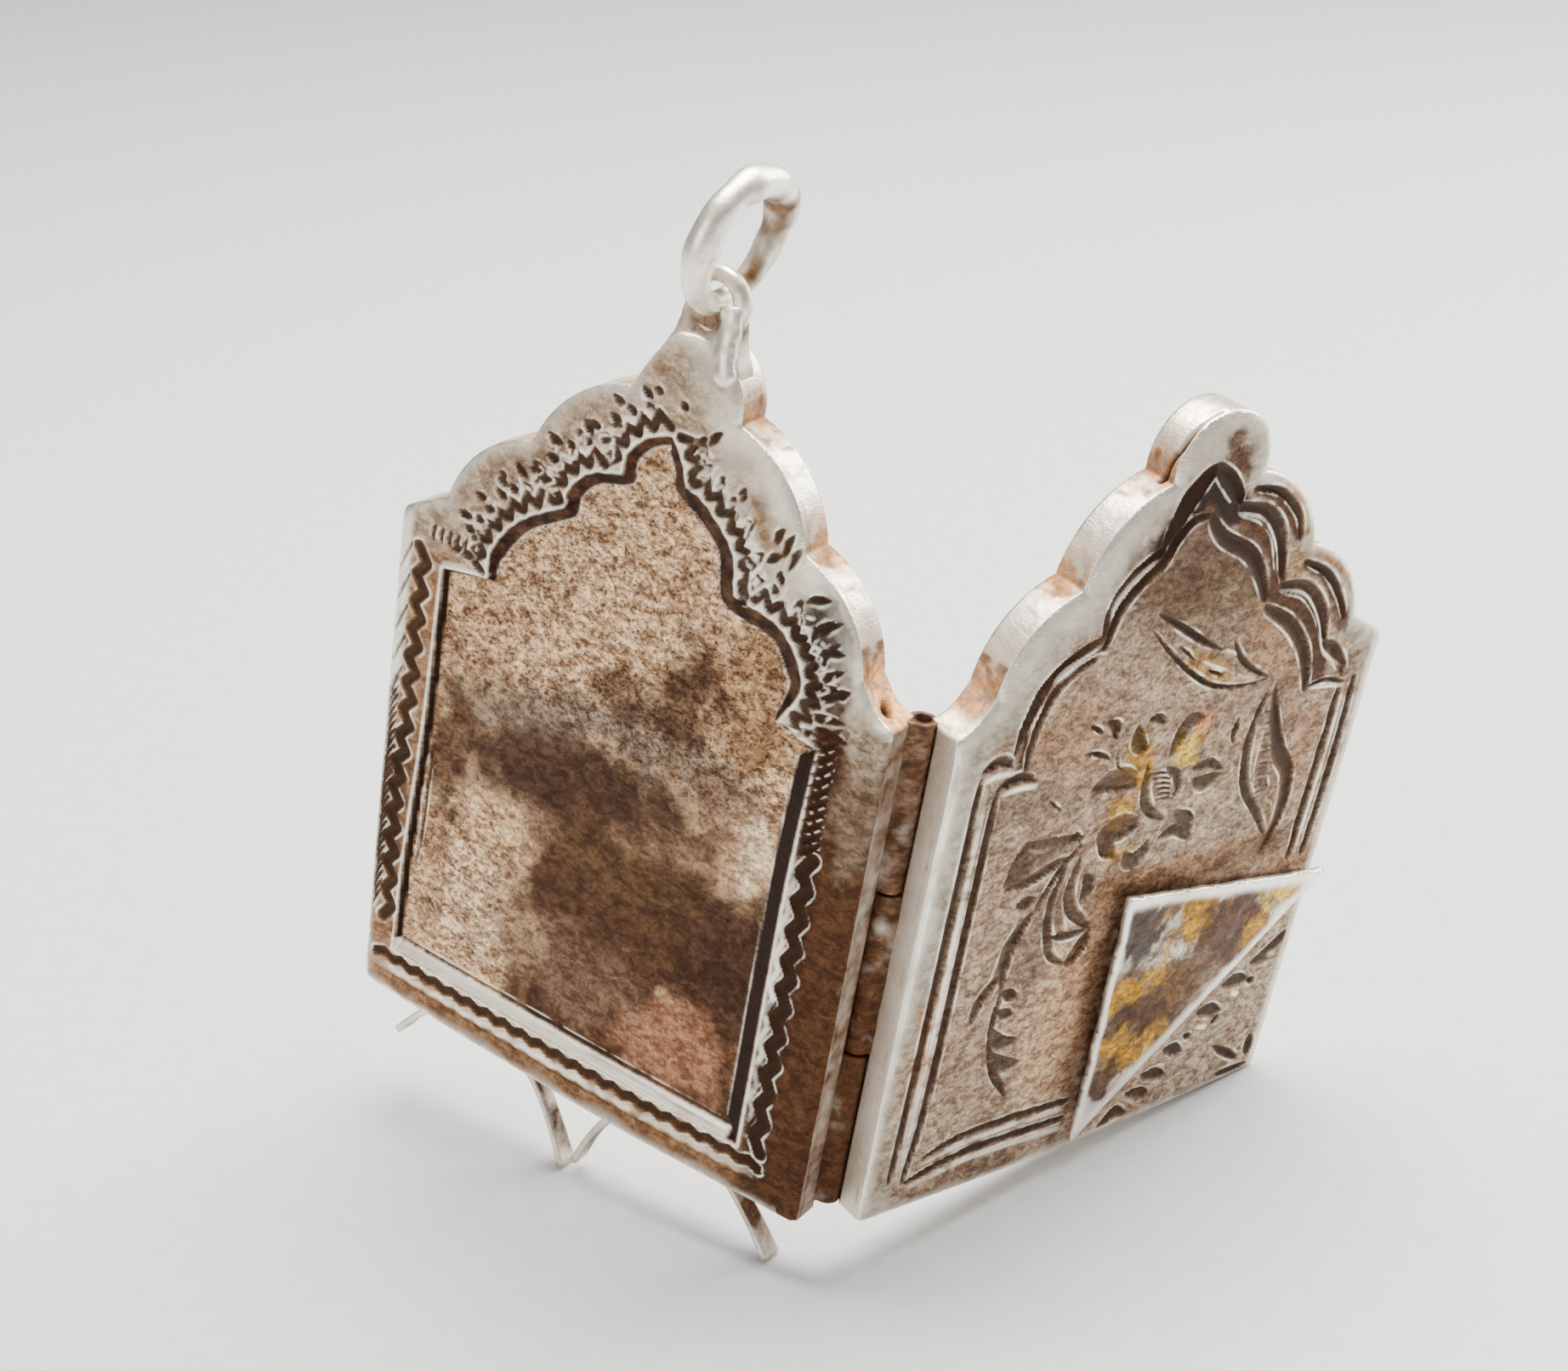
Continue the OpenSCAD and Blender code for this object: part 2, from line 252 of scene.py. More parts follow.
def arch_points(springs, mid, base, rise, notches):
    """Notches of an arch on its free side, from below, and on its hinge side, from above."""
    up = [(springs[1] + (mid - springs[1]) * a, base + rise * b) for a, b in notches]
    down = [(springs[0] + (mid - springs[0]) * a, base + rise * b) for a, b in notches][::-1]
    return up, down


def rounded(corner, before, after, points):
    """Points near a corner, drawn onto the curve that rounds it off."""
    corner, a, b = (np.asarray(x, float) for x in (corner, before, after))
    a, b = unit(a - corner), unit(b - corner)
    start, end = corner + a * CORNER_R, corner + b * CORNER_R
    for i, p in enumerate(points):
        away = np.linalg.norm(p - corner)
        if away < CORNER_R:
            t = away / (2 * CORNER_R)
            t = 0.5 - t if (p - corner) @ a > (p - corner) @ b else 0.5 + t
            points[i] = (1 - t) ** 2 * start + 2 * t * (1 - t) * corner + t**2 * end


def cover_loop(step=0.13):
    """The cover's outline, anticlockwise from the spine's foot, and its inner loop, point for point."""
    up, down = arch_points((0, COVER_W), MID_U, SIDE_H, ARCH_H, COVER_NOTCHES)
    corners = [(SPINE_IN, 0), (COVER_W, 0), (COVER_W, SIDE_H), up[0]]
    ends = [down[-1], (SPINE_IN, SIDE_H), (SPINE_IN, 0)]
    outer, inner = [], []

    def line(a, b, cut_a, cut_b):
        """A straight side, whose inner line starts and ends short by the two cuts."""
        a, b = np.asarray(a, float), np.asarray(b, float)
        way = unit(b - a)
        out = np.array([way[1], -way[0]])
        t = np.linspace(0, 1, max(2, int(np.linalg.norm(b - a) / step)), endpoint=False)[:, None]
        outer.append(a + (b - a) * t)
        p, q = a - out * WALL_T + way * cut_a, b - out * WALL_T - way * cut_b
        inner.append(p + (q - p) * t)

    def bend(a, b, bulge):
        """A lobe between two notches."""
        p, out = arc(a, b, bulge, step)
        outer.append(p[:-1])
        inner.append((p - out * WALL_T)[:-1])

    def mitre(a, b, c):
        """How much shorter the inner line is at corner b."""
        one, two = unit(np.subtract(b, a)), unit(np.subtract(c, b))
        turn = math.acos(np.clip(one @ two, -1, 1))
        return WALL_T * math.tan(turn / 2)

    m = [mitre(ends[1], corners[0], corners[1]), mitre(*corners[:3]), mitre(*corners[1:4])]
    line(corners[0], corners[1], m[0], m[1])
    line(corners[1], corners[2], m[1], m[2])
    line(corners[2], corners[3], m[2], 0)
    bend(up[0], up[1], LOBE_BULGE)
    bend(up[1], up[2], LOBE_BULGE)
    bend(up[2], down[0], APEX_H - up[2][1])
    bend(down[0], down[1], LOBE_BULGE)
    bend(down[1], down[2], LOBE_BULGE)
    shoulder = mitre(*ends)
    line(ends[0], ends[1], 0, shoulder)
    line(ends[1], ends[2], shoulder, m[0])
    outer, inner = np.vstack(outer), np.vstack(inner)
    for a, b, c in ((ends[1], corners[0], corners[1]), corners[:3], corners[1:4], ends):
        rounded(b, a, c, outer)
    return outer, inner


OUTER, INNER = cover_loop()


def sagged(points):
    """The shoulder by the hinge is hollow, from the lowest notch to the spine."""
    p = points.copy()
    notch_u = MID_U * COVER_NOTCHES[0][0]
    t = np.clip((p[:, 0] - SPINE_IN) / (notch_u - SPINE_IN), 0, 1)
    p[:, 1] -= SHOULDER_SAG * 4 * t * (1 - t) * np.clip((p[:, 1] - SIDE_H + 1.5) / 1.5, 0, 1)
    return p


def bowed(points, _inset=0.0):
    """The flower cover's foot edge is a little worn round, lowest in its middle, whatever the inset."""
    p = sagged(points)
    t = np.clip(p[:, 0] / COVER_W, 0, 1)
    p[:, 1] -= FOOT_BOW * 4 * t * (1 - t) * np.clip(1 - p[:, 1], 0, 1)
    return p


def foot_drop(u):
    """How much deeper the window cover's worn foot edge runs at u."""
    t = np.clip(u / COVER_W, 0, 1)
    return FOOT_DROP + FOOT_BOW * 4 * t * (1 - t) + 0.2 * t


def gable(points, inset=0.0):
    """The window cover runs deeper at its foot, and its top lobe slopes straighter up to the neck.

    The inset is how far inside the outline the points lie.
    """
    p = sagged(points)
    p[:, 1] -= foot_drop(p[:, 0]) * np.clip(1 - p[:, 1] / 6.0, 0, 1)
    share_u, share_v = COVER_NOTCHES[2]
    cusp = np.array([MID_U + (COVER_W - MID_U) * (1 - share_u), SIDE_H + ARCH_H * share_v])
    end = np.array([MID_U + 0.9, APEX_H])
    way = unit(end - cusp)
    out = np.array([way[1], -way[0]])
    beyond = (p - cusp) @ out + inset
    rows = (beyond > 0) & (p[:, 1] > cusp[1]) & (p[:, 0] > MID_U + 0.3)
    p[rows] -= out * (0.75 * beyond[rows])[:, None]
    return p


class Face:
    """Points in a cover's plane, with the levels, cuts and stains that the maker and time gave them, and
    some painted shade and highlight.
    """

    def __init__(self, points):
        self.p = points
        self.level = np.zeros(len(points))
        self.sunk = np.zeros(len(points))
        self.edge = np.zeros(len(points))
        self.tone = np.zeros(len(points))
        self.shone = np.zeros(len(points))
        self.grit = np.full(len(points), 0.3)
        self.shift = np.zeros(2)
        self.colour = np.tile(np.array(TAN), (len(points), 1))
        self.cover = np.full(len(points), 0.5)

    def near(self, path, reach):
        """Rows within reach of a path, how far along it they are, and how far to its left."""
        lo, hi = path.min(0) - reach, path.max(0) + reach
        rows = np.flatnonzero(((self.p > lo) & (self.p < hi)).all(1))
        q = self.p[rows]
        best = np.full(len(q), 1e9)
        along, side = np.zeros(len(q)), np.full(len(q), 1e9)
        done = 0.0
        for a, b in zip(path, path[1:]):
            way = b - a
            length = math.hypot(*way)
            rel = q - a
            t = np.clip(rel @ way / length**2, 0, 1)
            dist = np.hypot(rel[:, 0] - t * way[0], rel[:, 1] - t * way[1])
            closer = dist < best
            left = way[0] * rel[:, 1] - way[1] * rel[:, 0] > 0
            best[closer] = dist[closer]
            along[closer] = (done + t * length)[closer]
            side[closer] = np.where(left, dist, -dist)[closer]
            done += length
        keep = best < reach
        return rows[keep], along[keep] / max(done, 1e-9), side[keep], done

    def cut(self, path, left, right, depth, taper=0.6, tone=1.0):
        """A graver's cut: deepest on the path, rising to the face at its left and right reach."""
        rows, t, side, _ = self.near(np.asarray(path, float) + self.shift, max(left, right) + 2 * BURR_W)
        swell = np.sin(np.pi * np.clip(t, 0.001, 0.999)) ** taper
        reach = np.where(side > 0, left, right) * swell
        fall = np.clip(1 - np.abs(side) / np.maximum(reach, 1e-6), 0, 1)
        self.sunk[rows] = np.maximum(self.sunk[rows], depth * swell * fall)
        self.tone[rows] = np.maximum(self.tone[rows], tone * np.clip(depth * swell * fall / 0.055, 0, 1))
        # A raised burr beside the cut, whose bare silver is worn and partly painted highlight
        burr = swell * np.exp(-(((np.abs(side) - reach - 0.03) / BURR_W) ** 2)) * (reach > 0.07)
        self.edge[rows] = np.maximum(self.edge[rows], burr)

    def shine(self, path, half, lift=0.03, taper=0.3):
        """A burnished line that stands a little proud."""
        rows, t, side, _ = self.near(np.asarray(path, float) + self.shift, 2.2 * half)
        swell = np.sin(np.pi * np.clip(t, 0.001, 0.999)) ** taper
        line = swell * np.exp(-((side / half) ** 4))
        self.shone[rows] = np.maximum(self.shone[rows], line)
        self.level[rows] += lift * line

    def stain(self, centre, size, colour, strength, turn=0.0, ragged=0.5, broken=0.5):
        """A soft patch of patina, with a ragged edge."""
        a = math.radians(turn)
        d = self.p - np.asarray(centre) - self.shift
        x = (d[:, 0] * math.cos(a) + d[:, 1] * math.sin(a)) / size[0]
        y = (-d[:, 0] * math.sin(a) + d[:, 1] * math.cos(a)) / size[1]
        rows = np.flatnonzero(np.hypot(x, y) < 2.0)
        if not len(rows):
            return
        rough = wander(self.p[rows], broken * (min(size) + 1.0), centre[0] + centre[1])
        r = np.hypot(x[rows], y[rows]) + ragged * rough
        s = np.clip((1.4 - r) / 0.8, 0, 1)
        s = strength * s * s * (3 - 2 * s)
        self.colour[rows] += (np.array(colour) - self.colour[rows]) * s[:, None]
        self.cover[rows] += (1 - self.cover[rows]) * s * 0.9

    def stains(self, table, ragged=0.6, broken=0.5):
        """A patch for each row of a table: centre, size, colour, strength and turn."""
        for row in table:
            self.stain(*row, ragged, broken)

    def wash(self, path, half, colour, cover):
        """A soft band of patina along a path."""
        rows, _, side, _ = self.near(smooth(path) + self.shift, half + 0.2)
        weight = np.zeros(len(self.p))
        weight[rows] = np.clip((half + 0.2 - np.abs(side)) / 0.2, 0, 1)
        self.tint(weight, colour, cover)

    def polish(self, rows, amount):
        """Patina rubbed off the given rows."""
        self.cover[rows] *= 1 - amount

    def tint(self, weight, colour, cover):
        """Patina of one colour wherever the weight is near 1."""
        w = weight[:, None]
        self.colour = self.colour * (1 - w) + np.array(colour) * w
        self.cover = self.cover * (1 - weight) + cover * weight

    def finish(self, seed):
        """Burrs and burnished lines, broken here and there, over the stains; the bare silver of the burrs
        and of the flecks by the teeth is partly painted highlight.
        """
        broken = np.clip(0.78 + 1.1 * wander(self.p, 0.9, seed + 5), 0.1, 1)
        burr = self.edge * np.clip(1 - self.sunk / 0.04, 0, 1) * broken
        self.level += BURR_H * burr
        worn = np.maximum(burr, self.shone * np.clip(broken + 0.35, 0, 1))
        self.cover *= 1 - 0.9 * worn
        self.tone *= 1 - self.shone


def zigzag(path, pitch, swing):
    """A zigzag about a path, one tooth to each pitch."""
    steps = np.hypot(*np.diff(path, axis=0).T)
    s = np.concatenate([[0], np.cumsum(steps)])
    count = max(2, int(round(s[-1] / pitch * 2)))
    t = np.linspace(0, s[-1], count + 1)
    p = np.column_stack([np.interp(t, s, path[:, i]) for i in (0, 1)])
    q = np.column_stack([np.interp(np.clip(t + 0.05, 0, s[-1]), s, path[:, i]) for i in (0, 1)])
    o = np.column_stack([np.interp(np.clip(t - 0.05, 0, s[-1]), s, path[:, i]) for i in (0, 1)])
    way = (q - o) / np.hypot(*(q - o).T)[:, None]
    left = np.column_stack([-way[:, 1], way[:, 0]])
    return p + left * (swing * np.where(np.arange(count + 1) % 2, 1, -1))[:, None]


def offset(path, d):
    """A path moved to its left by d."""
    way = np.gradient(path, axis=0)
    way /= np.hypot(*way.T)[:, None]
    return path + np.column_stack([-way[:, 1], way[:, 0]]) * d


EDGE_REACH = 1.6
RIM_POLISH = 0.9


def base_relief(face, seed, spine_rim):
    """What both faces share: shallow dents, and the worn outer edge, whose rows and wear it returns."""
    rows, _, side, _ = face.near(closed(OUTER), EDGE_REACH)
    inside = np.maximum(side, 0)
    u, v = face.p[rows].T
    arch = np.clip((v - SIDE_H + 1) / 2, 0, 1) * np.clip((MID_U + 1 - u) / 2, 0, 1)
    face.level[rows] -= 0.10 * np.exp(-((inside / 0.16) ** 2)) + 0.22 * arch * np.exp(-((inside / 0.6) ** 2))
    face.level[rows] += 0.02 * np.exp(-(((inside - 0.45) / 0.3) ** 2))
    face.level += 0.035 * wander(face.p, 7.0, seed) + 0.008 * wander(face.p, 1.6, seed + 3)
    ragged = np.clip(0.85 + 0.7 * wander(face.p[rows], 0.7, seed + 9), 0.3, 1.3)
    crisp = np.exp(-((inside / ((0.2 + 0.12 * arch) * ragged)) ** 4))
    faded = 0.55 * np.exp(-((inside / (0.45 + 0.5 * arch)) ** 2))
    on_spine = (u < 1.1) & (v < SIDE_H - 0.4)
    return rows, np.maximum(crisp, faded) * np.where(on_spine, spine_rim, 1)


# The window cover's face
WINDOW_ARCH_LEFT = ((5.0, 21.1), (4.2, 23.0), (5.4, 24.8), (7.7, 25.3))
WINDOW_ARCH_MID_LEFT = ((7.7, 25.3), (8.1, 27.0), (9.5, 28.3), (10.5, 28.7))
WINDOW_TIP_LEFT = ((10.5, 28.7), (10.8, 29.5), (11.4, 30.4))
WINDOW_TIP_RIGHT = ((11.4, 30.4), (12.5, 29.9), (13.3, 29.0), (13.4, 28.1))
WINDOW_ARCH_MID_RIGHT = ((13.4, 28.1), (14.9, 27.6), (15.8, 26.6), (15.9, 25.8))
WINDOW_ARCH_RIGHT = ((15.9, 25.8), (18.0, 24.4), (19.2, 22.7), (19.3, 21.4))
WINDOW_FOOT = ((3.5, 2.2), (22.4, 2.2))
WINDOW_FREE = ((22.4, 2.2), (22.3, 6.0), (21.85, 13.0), (21.6, 20.9))
WINDOW_HINGE = ((3.1, 20.7), (3.4, 14.0), (3.5, 2.2))


def window_loop():
    """The sunken panel's edge, anticlockwise from its foot at the hinge, in eleven stretches."""
    right = [WINDOW_ARCH_RIGHT, WINDOW_ARCH_MID_RIGHT, WINDOW_TIP_RIGHT]
    left = [WINDOW_TIP_LEFT, WINDOW_ARCH_MID_LEFT, WINDOW_ARCH_LEFT]
    pieces = [smooth(WINDOW_FOOT), smooth(WINDOW_FREE), smooth((WINDOW_FREE[-1], WINDOW_ARCH_RIGHT[-1]))]
    pieces += [smooth(a[::-1]) for a in right + left]
    pieces += [smooth((WINDOW_ARCH_LEFT[0], WINDOW_HINGE[0])), smooth(WINDOW_HINGE)]
    return pieces


# Bevel of each stretch of the panel's edge: foot, free side, step, six arcs, step, hinge side
BEVELS = (0.4, 0.22, 0.2, 0.55, 0.55, 0.45, 0.7, 0.9, 0.9, 0.2, 0.85)

# How far before and after the end of each stretch the bevel's width changes
BLEND_BEFORE = (0.3, 0.3, 0.2, 0.3, 0.3, 0.3, 0.3, 0.3, 2.4, 0.2)
BLEND_AFTER = (0.3, 0.3, 1.3, 0.3, 0.3, 0.3, 0.3, 0.3, 0.1, 0.3)


# A reach that takes in the whole face, and how wide the step between panel and bevel's colours is
WHOLE_PANEL = 40.0
SOFT_EDGE = 0.05


def sink_window(face):
    """The sunken panel with its bevels and burrs, and how far each point is panel, bevel or bright."""
    pieces = window_loop()
    loop = np.vstack([p[:-1] for p in pieces] + [pieces[0][:1]])
    steps = np.hypot(*np.diff(loop, axis=0).T)
    total = steps.sum()
    ends = np.cumsum([np.hypot(*np.diff(p, axis=0).T).sum() for p in pieces]) / total
    rows, t, side, _ = face.near(loop, WHOLE_PANEL)
    before, after = np.array(BLEND_BEFORE) / total, np.array(BLEND_AFTER) / total
    knots = np.column_stack([ends[:-1] - before, ends[:-1] + after]).ravel()
    widths = np.column_stack([BEVELS[:-1], BEVELS[1:]]).ravel()
    bevel = np.interp(t, knots, widths)
    inside = side > 0
    depth = np.where(inside, np.clip(side / bevel, 0, 1), 0)
    face.level[rows] -= WINDOW_DEPTH * depth
    burr = np.exp(-(((side - bevel - 0.03) / 0.07) ** 2))
    face.level[rows] += np.where(inside & (bevel > 0.3), 0.07, 0.03) * burr
    lip = np.exp(-(((side + 0.1) / 0.12) ** 2))
    face.level[rows] += 0.035 * lip
    within = np.zeros(len(face.p))
    panel = np.zeros(len(face.p))
    bright = np.zeros(len(face.p))
    within[rows] = np.clip(0.5 + side / SOFT_EDGE, 0, 1)
    panel[rows] = np.clip(0.5 + (side - bevel) / SOFT_EDGE, 0, 1)
    foot_line = np.exp(-(((side - bevel - 0.03) / 0.06) ** 2)) * inside * (bevel > 0.3)
    bright[rows] = np.maximum(foot_line, 0.8 * lip**3)
    return panel, within * (1 - panel), bright


# Short leafy cuts on the shoulder, from start to end
SHOULDER_LEAVES = (
    ((3.9, 22.2), (2.3, 23.4)), ((4.0, 22.9), (2.5, 24.3)), ((3.9, 23.7), (2.9, 25.3)),
    ((4.0, 21.8), (2.0, 22.3)), ((3.4, 21.6), (1.7, 21.5)), ((3.6, 24.6), (2.6, 24.9)),
    ((4.1, 25.2), (3.0, 26.0)), ((4.6, 26.3), (3.6, 26.7)), ((5.6, 27.1), (5.2, 28.2)),
    ((5.9, 27.5), (5.6, 28.6)), ((6.3, 27.9), (6.0, 28.7)),
)
PITS = ((18.9, 25.9), (16.6, 28.2), (14.8, 29.5), (17.3, 26.9), (15.4, 28.9), (12.1, 31.8), (10.9, 31.6))
FREE_SIDE = ((22.95, 3.4), (23.05, 9.0), (22.85, 14.0), (22.7, 21.4))


def teeth(face, arcs, pitch, rows):
    """Teeth along one side of the arch: a zigzag, rows of leafy cuts outside it, and bright flecks as
    painted highlights.
    """
    path = np.vstack([smooth(a)[:-1] for a in arcs])
    face.cut(zigzag(offset(path, 0.62), pitch, 0.3), 0.2, 0.24, 0.17, 0)
    face.shine(zigzag(offset(path, 0.98), pitch, 0.22), 0.09, 0.03)
    for away, count in rows:
        line = offset(path, away)
        for k, t in enumerate(np.linspace(0.04, 0.97, count)):
            i = int(t * (len(line) - 3)) + 1
            way = unit(line[i + 1] - line[i - 1])
            out = np.array([-way[1], way[0]])
            start = line[i] - out * 0.3
            end = line[i] + out * (0.26 + 0.12 * (k % 3)) + way * 0.3
            face.cut(smooth((start, (start + end) / 2 + way * 0.14, end)), 0.34, 0.12, 0.16)
    # Painted highlights: short flecks of bare silver between the teeth stand in for glints
    for away, count in ((1.45, 15), (1.0, 12)):
        line = offset(path, away)
        for k, t in enumerate(np.linspace(0.06, 0.95, count)):
            i = int(t * (len(line) - 3)) + 1
            turn = np.array([math.cos(2.3 * k), math.sin(2.3 * k)])
            face.shine(smooth((line[i] - 0.2 * turn, line[i] + 0.2 * turn)), 0.09, 0.04)


def window_engraving(face):
    """Wriggle work on the frame's sides and foot, teeth round the arch, and leafy cuts."""
    face.cut(zigzag(smooth(((2.55, 16.2), (2.55, 2.3))), 1.4, 0.2), 0.3, 0.32, 0.17, 0)
    face.shine(zigzag(smooth(((3.1, 16.2), (3.15, 2.5))), 1.4, 0.1), 0.16)
    face.cut(smooth(((4.1, 2.7), (12.0, 2.72), (22.2, 2.68))), 0.09, 0.07, 0.08, 0.1)
    face.cut(zigzag(smooth(((2.3, 1.75), (23.4, 1.75))), 1.0, 0.1), 0.2, 0.3, 0.17, 0)
    face.shine(zigzag(smooth(((2.3, 1.2), (23.6, 1.2))), 1.0, 0.06), 0.17)
    face.cut(smooth(((2.6, 0.92), (23.4, 0.92))), 0.07, 0.05, 0.06, 0.1, 0.8)
    face.cut(zigzag(smooth(FREE_SIDE), 1.3, 0.26), 0.3, 0.3, 0.16, 0)
    # Second thin lines in the foot's bevel and beside the free side
    face.cut(smooth(((4.0, 2.32), (12.6, 2.48))), 0.09, 0.09, 0.08, 0.3)
    face.cut(smooth(((21.95, 5.9), (21.7, 8.0), (21.5, 13.0))), 0.12, 0.12, 0.08, 0.5)
    teeth(face, (WINDOW_ARCH_LEFT, WINDOW_ARCH_MID_LEFT, WINDOW_TIP_LEFT), 0.78, ((1.15, 17), (1.75, 9)))
    teeth(face, (WINDOW_TIP_RIGHT, WINDOW_ARCH_MID_RIGHT, WINDOW_ARCH_RIGHT), 0.85, ((1.15, 19), (1.7, 13)))
    # Leafy cuts above the hinge side's wriggle and on the shoulder
    for k in range(11):
        v = 16.1 + 0.5 * k
        face.cut(smooth(((3.2, v), (2.8, v + 0.35), (2.15, v + 0.95))), 0.22, 0.07, 0.15)
        face.cut(smooth(((2.1, v), (2.6, v + 0.15), (3.15, v + 0.6))), 0.12, 0.07, 0.12)
    for start, end in SHOULDER_LEAVES:
        middle = (np.add(start, end) / 2 + (0.12, 0.12)).tolist()
        face.cut(smooth((start, middle, end)), 0.3, 0.1, 0.16)
    # Cuts along the step on the free side
    for k in range(7):
        u = 19.7 + 0.42 * k
        face.cut(smooth(((u, 21.9), (u + 0.1, 22.3), (u - 0.05, 22.75))), 0.17, 0.1, 0.14)
    # Long slanting cuts on the free edge, crowded below and wider apart above
    for k in range(26):
        v = 3.3 + 0.42 * k
        face.cut(smooth(((24.0, v), (23.75, v + 0.7), (23.35, v + 1.45))), 0.12, 0.09, 0.1)
    for k in range(5):
        v = 14.2 + 1.45 * k
        face.cut(smooth(((23.9, v), (23.65, v + 0.8), (23.25, v + 1.6))), 0.16, 0.08, 0.12)
    # Short marks on the arch of the frame
    for u, v in PITS:
        face.cut(smooth(((u, v), (u + 0.35, v + 0.2))), 0.22, 0.22, 0.14, 0.3)
    # Worn steps above the panel's sides
    face.shine(smooth(((21.7, 21.1), (20.6, 21.3), (19.5, 21.25))), 0.15, 0.02)
    face.shine(smooth(((5.0, 21.0), (4.0, 20.95), (3.2, 20.85))), 0.12, 0.02)


def window_stains(face, panel, bevel, bright):
    """Patina: dark bands by the hinge and at the foot, a bright worn arch, and the clouded panel,
    with painted shade and painted highlight on the panel's bevels.
    """
    p = face.p
    face.colour[:] = TAN
    face.cover[:] = 0.85
    high = ramp(p[:, 1], 20.5, 1.5)
    face.tint(high, PINK_GREY, 0.76)
    face.tint(0.55 * high * ramp(p[:, 0], 11.5, -2), SILVER_GREY, 0.3)
    face.tint(ramp(p[:, 0], 3.7, -0.6) * ramp(p[:, 1], 22.6, -1.2), BROWN, 0.98)
    face.tint(ramp(p[:, 1], 2.7, -0.6) * ramp(p[:, 0], 2.5, 2), TAN, 0.78)
    face.tint(ramp(p[:, 0], 23.2, 0.3) * ramp(p[:, 1], 12.5, 2), SILVER_GREY, 0.15)
    face.stain((12, 0.3), (13, 0.7), UMBER, 0.45)
    face.stain((0.9, 11), (1.2, 12), BROWN, 0.8)
    face.stain((1.0, 19.0), (1.1, 2.6), STEEL, 0.6)
    face.stain((1.0, 21.6), (1.0, 1.2), SILVER_GREY, 0.6)
    face.stain((2.7, 9), (0.7, 8), DARK_BROWN, 0.6)
    face.stain((3.5, 25.5), (1.3, 1.8), GREY, 1.0, 35, 0.2)
    face.stain((2.9, 23.2), (0.9, 1.6), PURPLE, 0.8, 30)
    face.stain((23.4, 8.0), (1.1, 5.5), UMBER, 0.9)
    face.stain((23.2, 3.6), (1.3, 2.0), TAN, 0.8)
    face.stain((10.6, 30.6), (1.4, 1.0), PINK_GREY, 0.5)
    face.stain((17.0, 27.2), (2.4, 0.7), TAUPE, 0.6, -40)
    face.stain((6.8, 28.6), (1.6, 0.6), TAN, 0.6, 45)
    # Painted shade and highlight on the panel's bevels: dark brown where they face away from the light,
    # mottled umber round the arch, bare bright silver on the foot's bevel that faces the light, and bright
    # lines along the panel's edges that are worn and partly painted highlight
    face.tint(bevel, DARK_BROWN, 1.0)
    arch_bevel = bevel * ramp(p[:, 1], 21.3, 0.4) * np.clip(1.3 * wander(p, 0.7, 8.0) + 0.5, 0, 1)
    face.tint(arch_bevel, UMBER, 0.85)
    foot_bevel_highlight = bevel * ramp(p[:, 1], 2.75, -0.15) * ramp(p[:, 0], 3.9, 0.3)
    face.tint(foot_bevel_highlight, BRIGHT, 0.0)
    face.tint(np.clip(1.3 * bright, 0, 1), BRIGHT, 0.2)
    # The panel: tan with a granular tarnish, and a dark cloud across its middle
    frame_colour, frame_cover = face.colour.copy(), face.cover.copy()
    face.colour[:] = PALE_TAN
    face.cover[:] = 0.94
    ragged = 0.8 * wander(p, 2.4, 81.0)
    brown = np.clip((17.2 + 2 * ragged - p[:, 0]) / 2.2, 0, 1)
    brown = brown * np.clip((14.6 + ragged - p[:, 1]) / 2.5, 0, 1)
    face.tint(brown, UMBER, 1.0)
    face.stains((
        ((13.5, 24.5), (6.0, 5.0), PALE_TAN, 0.7, 0), ((19.8, 18.5), (1.8, 3.5), TAN, 0.25, 0),
        ((6.3, 21.4), (2.2, 4.0), TAN, 0.85, 0), ((19.0, 6.0), (2.0, 3.0), CREAM, 0.4, 0),
        ((14.0, 14.2), (6.4, 2.2), UMBER, 0.9, -3), ((20.6, 12.6), (1.1, 3.4), UMBER, 0.85, 0),
        ((15.6, 16.7), (4.8, 1.1), STEEL, 0.95, -14), ((9.6, 17.3), (2.6, 1.3), STEEL, 0.9, 0),
        ((6.6, 17.0), (1.7, 1.1), TAUPE, 0.8, 0), ((14.2, 14.6), (5.2, 1.7), PURPLE, 0.6, -3),
        ((17.4, 13.0), (2.8, 1.6), PURPLE, 0.6, -10), ((9.8, 14.6), (3.0, 1.4), PURPLE, 0.5, 0),
        ((11.9, 18.8), (2.0, 1.0), UMBER, 0.75, 10), ((9.3, 19.9), (1.6, 2.7), UMBER, 0.9, 8),
        ((5.6, 9.4), (1.9, 2.6), PURPLE, 0.6, 0), ((11.0, 11.2), (3.5, 1.2), OLIVE, 0.5, 0),
        ((18.0, 10.8), (1.9, 0.9), PALE_TAN, 0.85, 0), ((16.9, 9.4), (1.1, 1.0), PALE_TAN, 0.6, 0),
        ((12.8, 5.3), (3.6, 1.8), TAUPE, 0.6, 0), ((7.2, 4.6), (3.0, 1.8), RED_BROWN, 0.85, -10),
        ((7.0, 5.9), (1.5, 0.16), TAN, 0.9, 34), ((8.2, 6.4), (0.7, 0.3), PALE_TAN, 0.6, 20),
        ((20.8, 7.0), (0.7, 2.6), TAN, 0.6, 0), ((5.1, 14.9), (0.8, 1.6), CREAM, 0.85, 0),
    ))
    w = panel[:, None]
    face.colour = frame_colour * (1 - w) + face.colour * w
    face.cover = frame_cover * (1 - panel) + face.cover * panel
    grainy = ramp(p[:, 1], 15.0, 2.5)
    grainy = np.maximum(grainy, 0.8 * ramp(p[:, 0], 15.5, 2) * ramp(p[:, 1], 12, -2))
    face.grit = 0.3 * (1 - panel) + (0.42 + 0.58 * grainy) * panel


